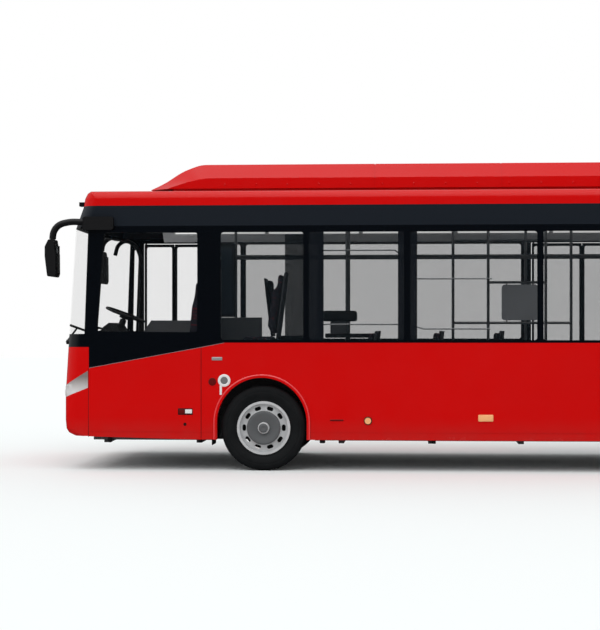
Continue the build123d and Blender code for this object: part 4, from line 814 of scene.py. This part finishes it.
COOLANT_CAP = [(-0.002, 0.002), (0.006, 0.002), (0.006, 0.036), (0.004, 0.043), (-0.002, 0.045)]
FILLER_RING = [(-0.002, 0.040), (0.007, 0.042), (0.010, 0.050), (0.009, 0.062), (0.004, 0.070), (-0.002, 0.071)]
FILLER_CAP = [(-0.002, 0.002), (0.005, 0.002), (0.006, 0.030), (0.004, 0.041), (-0.002, 0.041)]
FLAP_LOCK = [(-0.002, 0.002), (0.003, 0.002), (0.004, 0.016), (-0.002, 0.018)]
on_side("side_repeater", 1.709, 1.255, 0.118, 0.038, 0.0060, 0.0050, fitting_silver)
cap_on_side("coolant_cap", 1.656, 0.997, COOLANT_CAP, dark_red)
cap_on_side("filler_ring", 1.790, 1.012, FILLER_RING, white_paint)
cap_on_side("filler_cap", 1.790, 1.012, FILLER_CAP, fitting_grey)
on_side("filler_latch", 1.752, 0.905, 0.026, 0.110, 0.0050, 0.0045, white_paint)
on_side("grip_frame", 1.352, 0.662, 0.166, 0.072, 0.0020, 0.0018, fitting_black)
# The grip's recess is a flat plate standing out of the panel; its dark red is painted shade inside the recess.
on_side("grip_recess_painted_shade", 1.312, 0.662, 0.070, 0.050, 0.0035, 0.0030, dark_red)
on_side("grip_plate", 1.388, 0.664, 0.078, 0.046, 0.0045, 0.0040, white_paint)
cap_on_side("flap_lock", 1.347, 0.520, FLAP_LOCK, fitting_black)
on_side("skirt_reflector", 3.052, 0.570, 0.150, 0.018, 0.0040, 0.0035, dark_red)
on_side("skirt_marker", 4.706, 0.600, 0.168, 0.076, 0.0145, 0.0120, amber_lens)


# ---------------- under the skirts
# Black steel jacking brackets stand just below the skirt, and a ribbed rubber flap hangs at the front of
# each front wheel arch. All are bolted to the outriggers.

BRACKETS = [(0.490, 0.040), (1.514, 0.040), (2.890, 0.060), (4.130, 0.050)]      # station and length
BRACKET_WIDTH = 0.082
BRACKET_MIDDLE = (1.221, 0.352)      # X and height
brackets = []
for side in (1, -1):
    for station, length in BRACKETS:
        middle = (side * BRACKET_MIDDLE[0], FRONT_Y + station, BRACKET_MIDDLE[1])
        brackets.append(slab((BRACKET_WIDTH, length, 0.080), middle, 0.008, fitting_black, 2))
mounted(joined("skirt_brackets", brackets))

FLAP_Y = FRONT_Y + 1.652
FLAP_MIDDLE_Z = 0.4225
FLAP_HEIGHT = 0.275
RIB_X = (0.985, 0.046)      # the innermost rib, and the pitch
RIBS = 6
flaps = []
for side in (1, -1):      # X, width, thickness and height of a flap, then of its ribs
    sheets = [(1.100, 0.300, 0.010, FLAP_HEIGHT)]
    sheets += [(RIB_X[0] + RIB_X[1] * rib, 0.010, 0.016, FLAP_HEIGHT - 0.03) for rib in range(RIBS)]
    for x, width, thick, height in sheets:
        flaps.append(slab((width, thick, height), (side * x, FLAP_Y, FLAP_MIDDLE_Z), 0.003, nosing_rubber, 1))
mounted(joined("spray_flaps", flaps))


# ---------------- mirrors and wipers
# The mirror heads, their swan-neck arms and the wipers are black: grained plastic shells with a silvered
# glass behind, a moulded cover on each arm, and painted steel wiper arms with rubber blades. The heads and
# wipers are the CAD solids; the covers are bent tubes and the glasses thin rounded boxes.

def tube(points, radius, corner, finish, sides=10):
    """A bent tube through points, its corners rounded, as a mesh."""
    if len(points) == 2:
        points = [points[0], (Vector(points[0]) + Vector(points[1])) / 2, points[1]]
    bpy.ops.mesh.primitive_circle_add(vertices=len(points), radius=1)
    path = bpy.context.object
    for vertex, point in zip(path.data.vertices, points):
        vertex.co = point
    with Editing():
        cut = bmesh.from_edit_mesh(path.data)
        ends = {0, len(points) - 1}
        last = [edge for edge in cut.edges if {v.index for v in edge.verts} == ends]
        bmesh.ops.delete(cut, geom=last, context="EDGES")
        bmesh.update_edit_mesh(path.data)
        bpy.ops.mesh.select_all(action="SELECT")
        if corner:
            bpy.ops.mesh.bevel(offset=corner, segments=5, affect="VERTICES")
    bpy.ops.object.convert(target="CURVE")
    path.data.bevel_depth = radius
    path.data.bevel_resolution = max(1, sides // 4 - 1)
    path.data.use_fill_caps = True
    bpy.ops.object.convert(target="MESH")
    piece = bpy.context.object
    piece.data.materials.append(finish.material)
    bpy.ops.object.shade_smooth_by_angle(angle=math.radians(50))
    return piece


def rail(name, x, points, radius, corner, finish, sides=10):
    """A bent rail in a plane across X, through (station, height) points."""
    line = [(x, FRONT_Y + station, z) for station, z in points]
    mounted(tube(line, radius, corner, finish, sides), name=name)


mirror_black = Finish("mirror_black", (0.007, 0.007, 0.008), 0.45, rough=(30.0, 0.15, 0.38),
                      grain=(700.0, 0.15, 0.0005), Specular_IOR_Level=0.25)
mirror_black.on("left_mirror", "right_mirror", "wipers")

silvered = Finish("silvered_glass", (0.10, 0.11, 0.12), 0.03, rough=(4.0, 0.02, 0.02), Metallic=1.0)

ARM = [(0.200, 2.790), (0.060, 2.795), (-0.070, 2.768), (-0.140, 2.690), (-0.148, 2.600)]      # station, height
ARM_X = 1.309
ARM_R = 0.038
GLASS_X, GLASS_Y, GLASS_Z = 1.3385, FRONT_Y - 0.0835, 2.375
HANDS = ((1, "left"), (-1, "right"))
for side, hand in HANDS:
    rail(f"mirror_arm_cover_{hand}", side * ARM_X, ARM, ARM_R, 0.045, mirror_black, 16)
for side, hand in HANDS:
    pane = slab((0.180, 0.006, 0.300), (side * GLASS_X, GLASS_Y, GLASS_Z), 0.0028, silvered, 2)
    mounted(pane, name=f"{hand}_mirror_glass")


# ---------------- roof fairing's fixings
# Every cover of the fairing is held along its lower edge by dome bolts in body colour, at an even pitch.
# One bolt is spun from its section and copied.

POD_SIDE_X = 0.895
BOLT_Z = 3.245
BOLT_STATIONS = [1.75 + 0.360 * number for number in range(25)]
DOME = [(-0.001, 0.001), (0.007, 0.001), (0.005, 0.007), (0.002, 0.010), (0.002, 0.015), (-0.001, 0.015)]
dome = spun("dome_bolt_master", [(POD_SIDE_X + out, radius) for out, radius in DOME], 16, smooth=40,
            finish=red_paint)
bolts = [copy_at(dome, "bolt", (0, FRONT_Y + station, BOLT_Z), mirrored=mirrored)
         for station in BOLT_STATIONS for mirrored in (False, True)]
bpy.data.objects.remove(dome)
mounted(joined("cover_bolts", bolts))


# ---------------- rear hatch fittings
# The engine hatch is shut by a slam lock with a pull handle, moulded in black, at its lower edge. The
# handle is a bent tube on a rounded plate.

PULL_Y = FRONT_Y + 11.950
PULL_RISE = 0.10          # over the hatch's lower edge
PULL = [(-0.080, 0.0, 0.0), (-0.080, 0.018, 0.0), (0.080, 0.018, 0.0), (0.080, 0.0, 0.0)]
handle = tube(PULL, 0.008, 0.012, fitting_black)
plate = slab((0.220, 0.008, 0.060), (0, 0.002, 0), 0.003, fitting_black, 2)
hatch_pull = joined("hatch_pull", [handle, plate])
hatch_pull.data.transform(Matrix.Translation((0, PULL_Y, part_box("engine_hatch")[0].z + PULL_RISE)))
mounted(hatch_pull, "hatch")


# ---------------- belt moulding and arch beads
# A thin metal strip finishes the joint between the red panels and the black ones, and each wheel arch is
# edged with a rolled bead, its lighter pinkish red a painted highlight on the body colour; both are tubes
# along the edge. The joints of the left front panels are run with sealant.

TRIM_X = 1.2755
BEAD_X = 1.284
STRIP_R = 0.0022
ARCH_BEAD_R = 0.0085
ARCH_R = 0.535
ARCH_TOP_Z = 0.5385
ARCH_STATIONS = (2.212, 8.428)
ARCH_STEPS = 32
SKIRT_Z = 0.352
BELT_LINE = [(0.262, 1.150), (1.530, 1.384), (1.790, 1.434)]      # station and height
JOINTS = [(0.252, 1.146), (1.529, 1.382)]                         # station, and height of the upper end
JOINT_FOOT_Z = 0.372

strip_metal = Finish("strip_metal", (0.26, 0.22, 0.23), 0.3, rough=(40.0, 0.2, 0.22), Metallic=0.6)
# The beads' pinkish red, lighter than the body, is a painted highlight along the arch lips.
arch_bead_painted_highlight = Finish("arch_bead_painted_highlight", (0.85, 0.055, 0.060), 0.18, rough=(30.0, 0.1, 0.14), Specular_IOR_Level=0.6)

for side, hand in HANDS:
    rail(f"belt_strip_{hand}", side * TRIM_X, BELT_LINE, STRIP_R, 0.0, strip_metal)
    for number, station in enumerate(ARCH_STATIONS):
        turns = [math.pi * step / ARCH_STEPS for step in range(ARCH_STEPS + 1)]
        arc = [(station + ARCH_R * math.cos(turn), ARCH_TOP_Z + ARCH_R * math.sin(turn)) for turn in turns]
        edge = [(station + ARCH_R, SKIRT_Z), *arc, (station - ARCH_R, SKIRT_Z)]
        rail(f"arch_bead_{number}_{hand}", side * BEAD_X, edge, ARCH_BEAD_R, 0.0, arch_bead_painted_highlight)

for number, (station, top_z) in enumerate(JOINTS):
    on_side(f"panel_joint_{number}", station, (top_z + JOINT_FOOT_Z) / 2, 0.005, top_z - JOINT_FOOT_Z, 0.0010,
            0.0009, nosing_rubber)


# ---------------- inside the bay
# Plastic, steel and acrylic pieces made from rounded boxes and bent tubes: a dark ticket console on the
# foremost post, guard rails along the left windows, a swan-neck rail at the cab, a smoked draught screen
# over the wheel box, and a framed pane with a low panel between the cab and the aisle.

BAY_X = 0.285             # the plane of the aisle's left side
WINDOW_RAIL_X = 1.190
CAB_RAIL_X = 0.310
smoked = Finish("smoked_acrylic", (0.010, 0.012, 0.015), 0.08, rough=(3.0, 0.05, 0.05), Alpha=0.75)
blue_glass = Finish("blue_glass", (0.018, 0.028, 0.040), 0.1, rough=(3.0, 0.05, 0.08))
panel_grey = Finish("panel_grey", (0.075, 0.078, 0.085), 0.55, grain=(500.0, 0.1, 0.0005))


def boards(name, slot, *slabs):
    """One piece of slabs, each given by size, X, station, height, rounding, segments and finish."""
    made = [slab(size, (x, FRONT_Y + station, z), round_by, finish, segments)
            for size, x, station, z, round_by, segments, finish in slabs]
    mounted(joined(name, made))


GUARD_RAILS = [
    [(2.84, 2.470), (3.70, 2.470), (3.80, 2.390)],
    [(2.84, 1.640), (3.86, 1.640)],
    [(3.90, 1.625), (4.02, 1.590), (4.76, 1.590)],
    [(3.95, 2.150), (4.78, 2.150)],
]
CAB_RAIL = [(0.666, 0.815), (0.666, 2.455), (0.617, 2.570), (0.499, 2.645), (0.392, 2.590), (0.360, 2.461)]
boards("ticket_console", "mirror_black",
       ((0.300, 0.400, 0.125), 0.300, 3.040, 1.740, 0.030, 3, mirror_black),
       ((0.200, 0.200, 0.190), BAY_X, 3.030, 1.590, 0.020, 3, cab_plastic),
       ((0.240, 0.620, 0.050), 0.290, 3.180, 1.510, 0.012, 3, mirror_black))
for number, points in enumerate(GUARD_RAILS):
    rail(f"guard_rail_{number}", WINDOW_RAIL_X, points, 0.009, 0.0, rail_steel)
rail("cab_rail", CAB_RAIL_X, CAB_RAIL, 0.024, 0.050, mirror_black, 12)
boards("draught_screen", "window_glass",
       ((0.008, 0.270, 1.320), BAY_X, 2.522, 2.050, 0.003, 1, smoked))
boards("cab_side_screen", "window_glass",
       ((0.014, 0.250, 0.870), BAY_X, 1.672, 2.165, 0.006, 2, mirror_black),
       ((0.022, 0.205, 0.815), BAY_X, 1.668, 2.160, 0.010, 3, blue_glass))
boards("seat_side_panel", "grey_trim",
       ((0.012, 0.560, 0.640), BAY_X, 1.835, 1.405, 0.005, 2, panel_grey))


# ---------------- studio
# A plain pale floor under soft even light, with the camera at the left side, square to the bus.

FLOOR_SIZE = 120.0
FLOOR_LIT = (0.70, 0.72, 0.72)
FLOOR_SEEN = (0.90, 0.935, 0.935)
FLOOR_MIRRORED = (0.03, 0.03, 0.03)
HORIZON_MIRRORED = 0.04   # strength of the sky in reflections, low down and overhead
ZENITH_MIRRORED = 1.15
ZENITH_FROM = (0.30, 0.85)      # share of the way up, and ahead, that the sky brightens over
FRONT_FROM = (0.35, 0.95)
FRONT_MIRRORED = 0.45     # strength added ahead of the bus
SKY_LIGHT = 0.78
SUN_STRENGTH = 1.1
SUN_SIZE = math.radians(70)
SUN_TILT = (math.radians(12), math.radians(28), 0)
bpy.ops.mesh.primitive_plane_add(size=FLOOR_SIZE, location=(0, 0, 0))
floor = bpy.context.object
floor.name = "studio_floor"
ground = Finish("studio_floor", FLOOR_LIT, 1.0, Specular_IOR_Level=0.0)
seen = ground.node("LightPath", output="Is Camera Ray")
reflected = ground.node("LightPath", output="Is Glossy Ray")
ground.set("Base Color", ground.blend(seen, ground.blend(reflected, FLOOR_LIT, FLOOR_MIRRORED), FLOOR_SEEN))
floor.data.materials.append(ground.material)


class Backdrop(Finish):
    """The world, its nodes made as a finish's are, from the direction looked in."""

    def __init__(self, world):
        world.use_nodes = True
        self.tree = world.node_tree
        self.shader = self.tree.nodes["Background"]

    def place(self):
        return self.node("TexCoord", output="Generated")


world = bpy.data.worlds.new("studio")
bpy.context.scene.world = world
backdrop = Backdrop(world)
backdrop.set("Color", (1.0, 1.0, 1.0))
overhead = backdrop.ramp(backdrop.axis("Z"), *ZENITH_FROM, HORIZON_MIRRORED, ZENITH_MIRRORED)
ahead = backdrop.ramp(backdrop.axis("Y") * -1.0, *FRONT_FROM, 0.0, FRONT_MIRRORED)
mirrored = backdrop.node("LightPath", output="Is Glossy Ray")
lighting = backdrop.node("LightPath", output="Is Diffuse Ray")
seen_plain = (1.0 - mirrored) * (1.0 - lighting)
backdrop.set("Strength", mirrored * (overhead + ahead) + lighting * SKY_LIGHT + seen_plain)

sun_data = bpy.data.lights.new("overhead", "SUN")
sun_data.energy = SUN_STRENGTH
sun_data.angle = SUN_SIZE
sun = bpy.data.objects.new("overhead", sun_data)
sun.rotation_euler = SUN_TILT
bpy.context.scene.collection.objects.link(sun)

FOCAL_PX = 1482.0        # focal length in pixels of the 600 x 630 frame
FRAME_LONG = 630.0
SENSOR_WIDTH = 36.0      # mm
DISTANCE = 16.5
EYE_HEIGHT = 1.6
STATION_SQUARE_ON = 3.907
LENS_SHIFT = (-0.0376, 0.0206)
YAW = math.radians(3.47)
camera_data = bpy.data.cameras.new("camera")
camera_data.lens = SENSOR_WIDTH * FOCAL_PX / FRAME_LONG
camera_data.shift_x, camera_data.shift_y = LENS_SHIFT
camera_data.clip_end = 200.0
camera = bpy.data.objects.new("camera", camera_data)
camera.location = (SIDE_X + DISTANCE, FRONT_Y + STATION_SQUARE_ON, EYE_HEIGHT)
camera.rotation_euler = (math.radians(90), 0, math.radians(90) + YAW)
bpy.context.scene.collection.objects.link(camera)
bpy.context.scene.camera = camera
bpy.context.scene.view_settings.view_transform = "Standard"
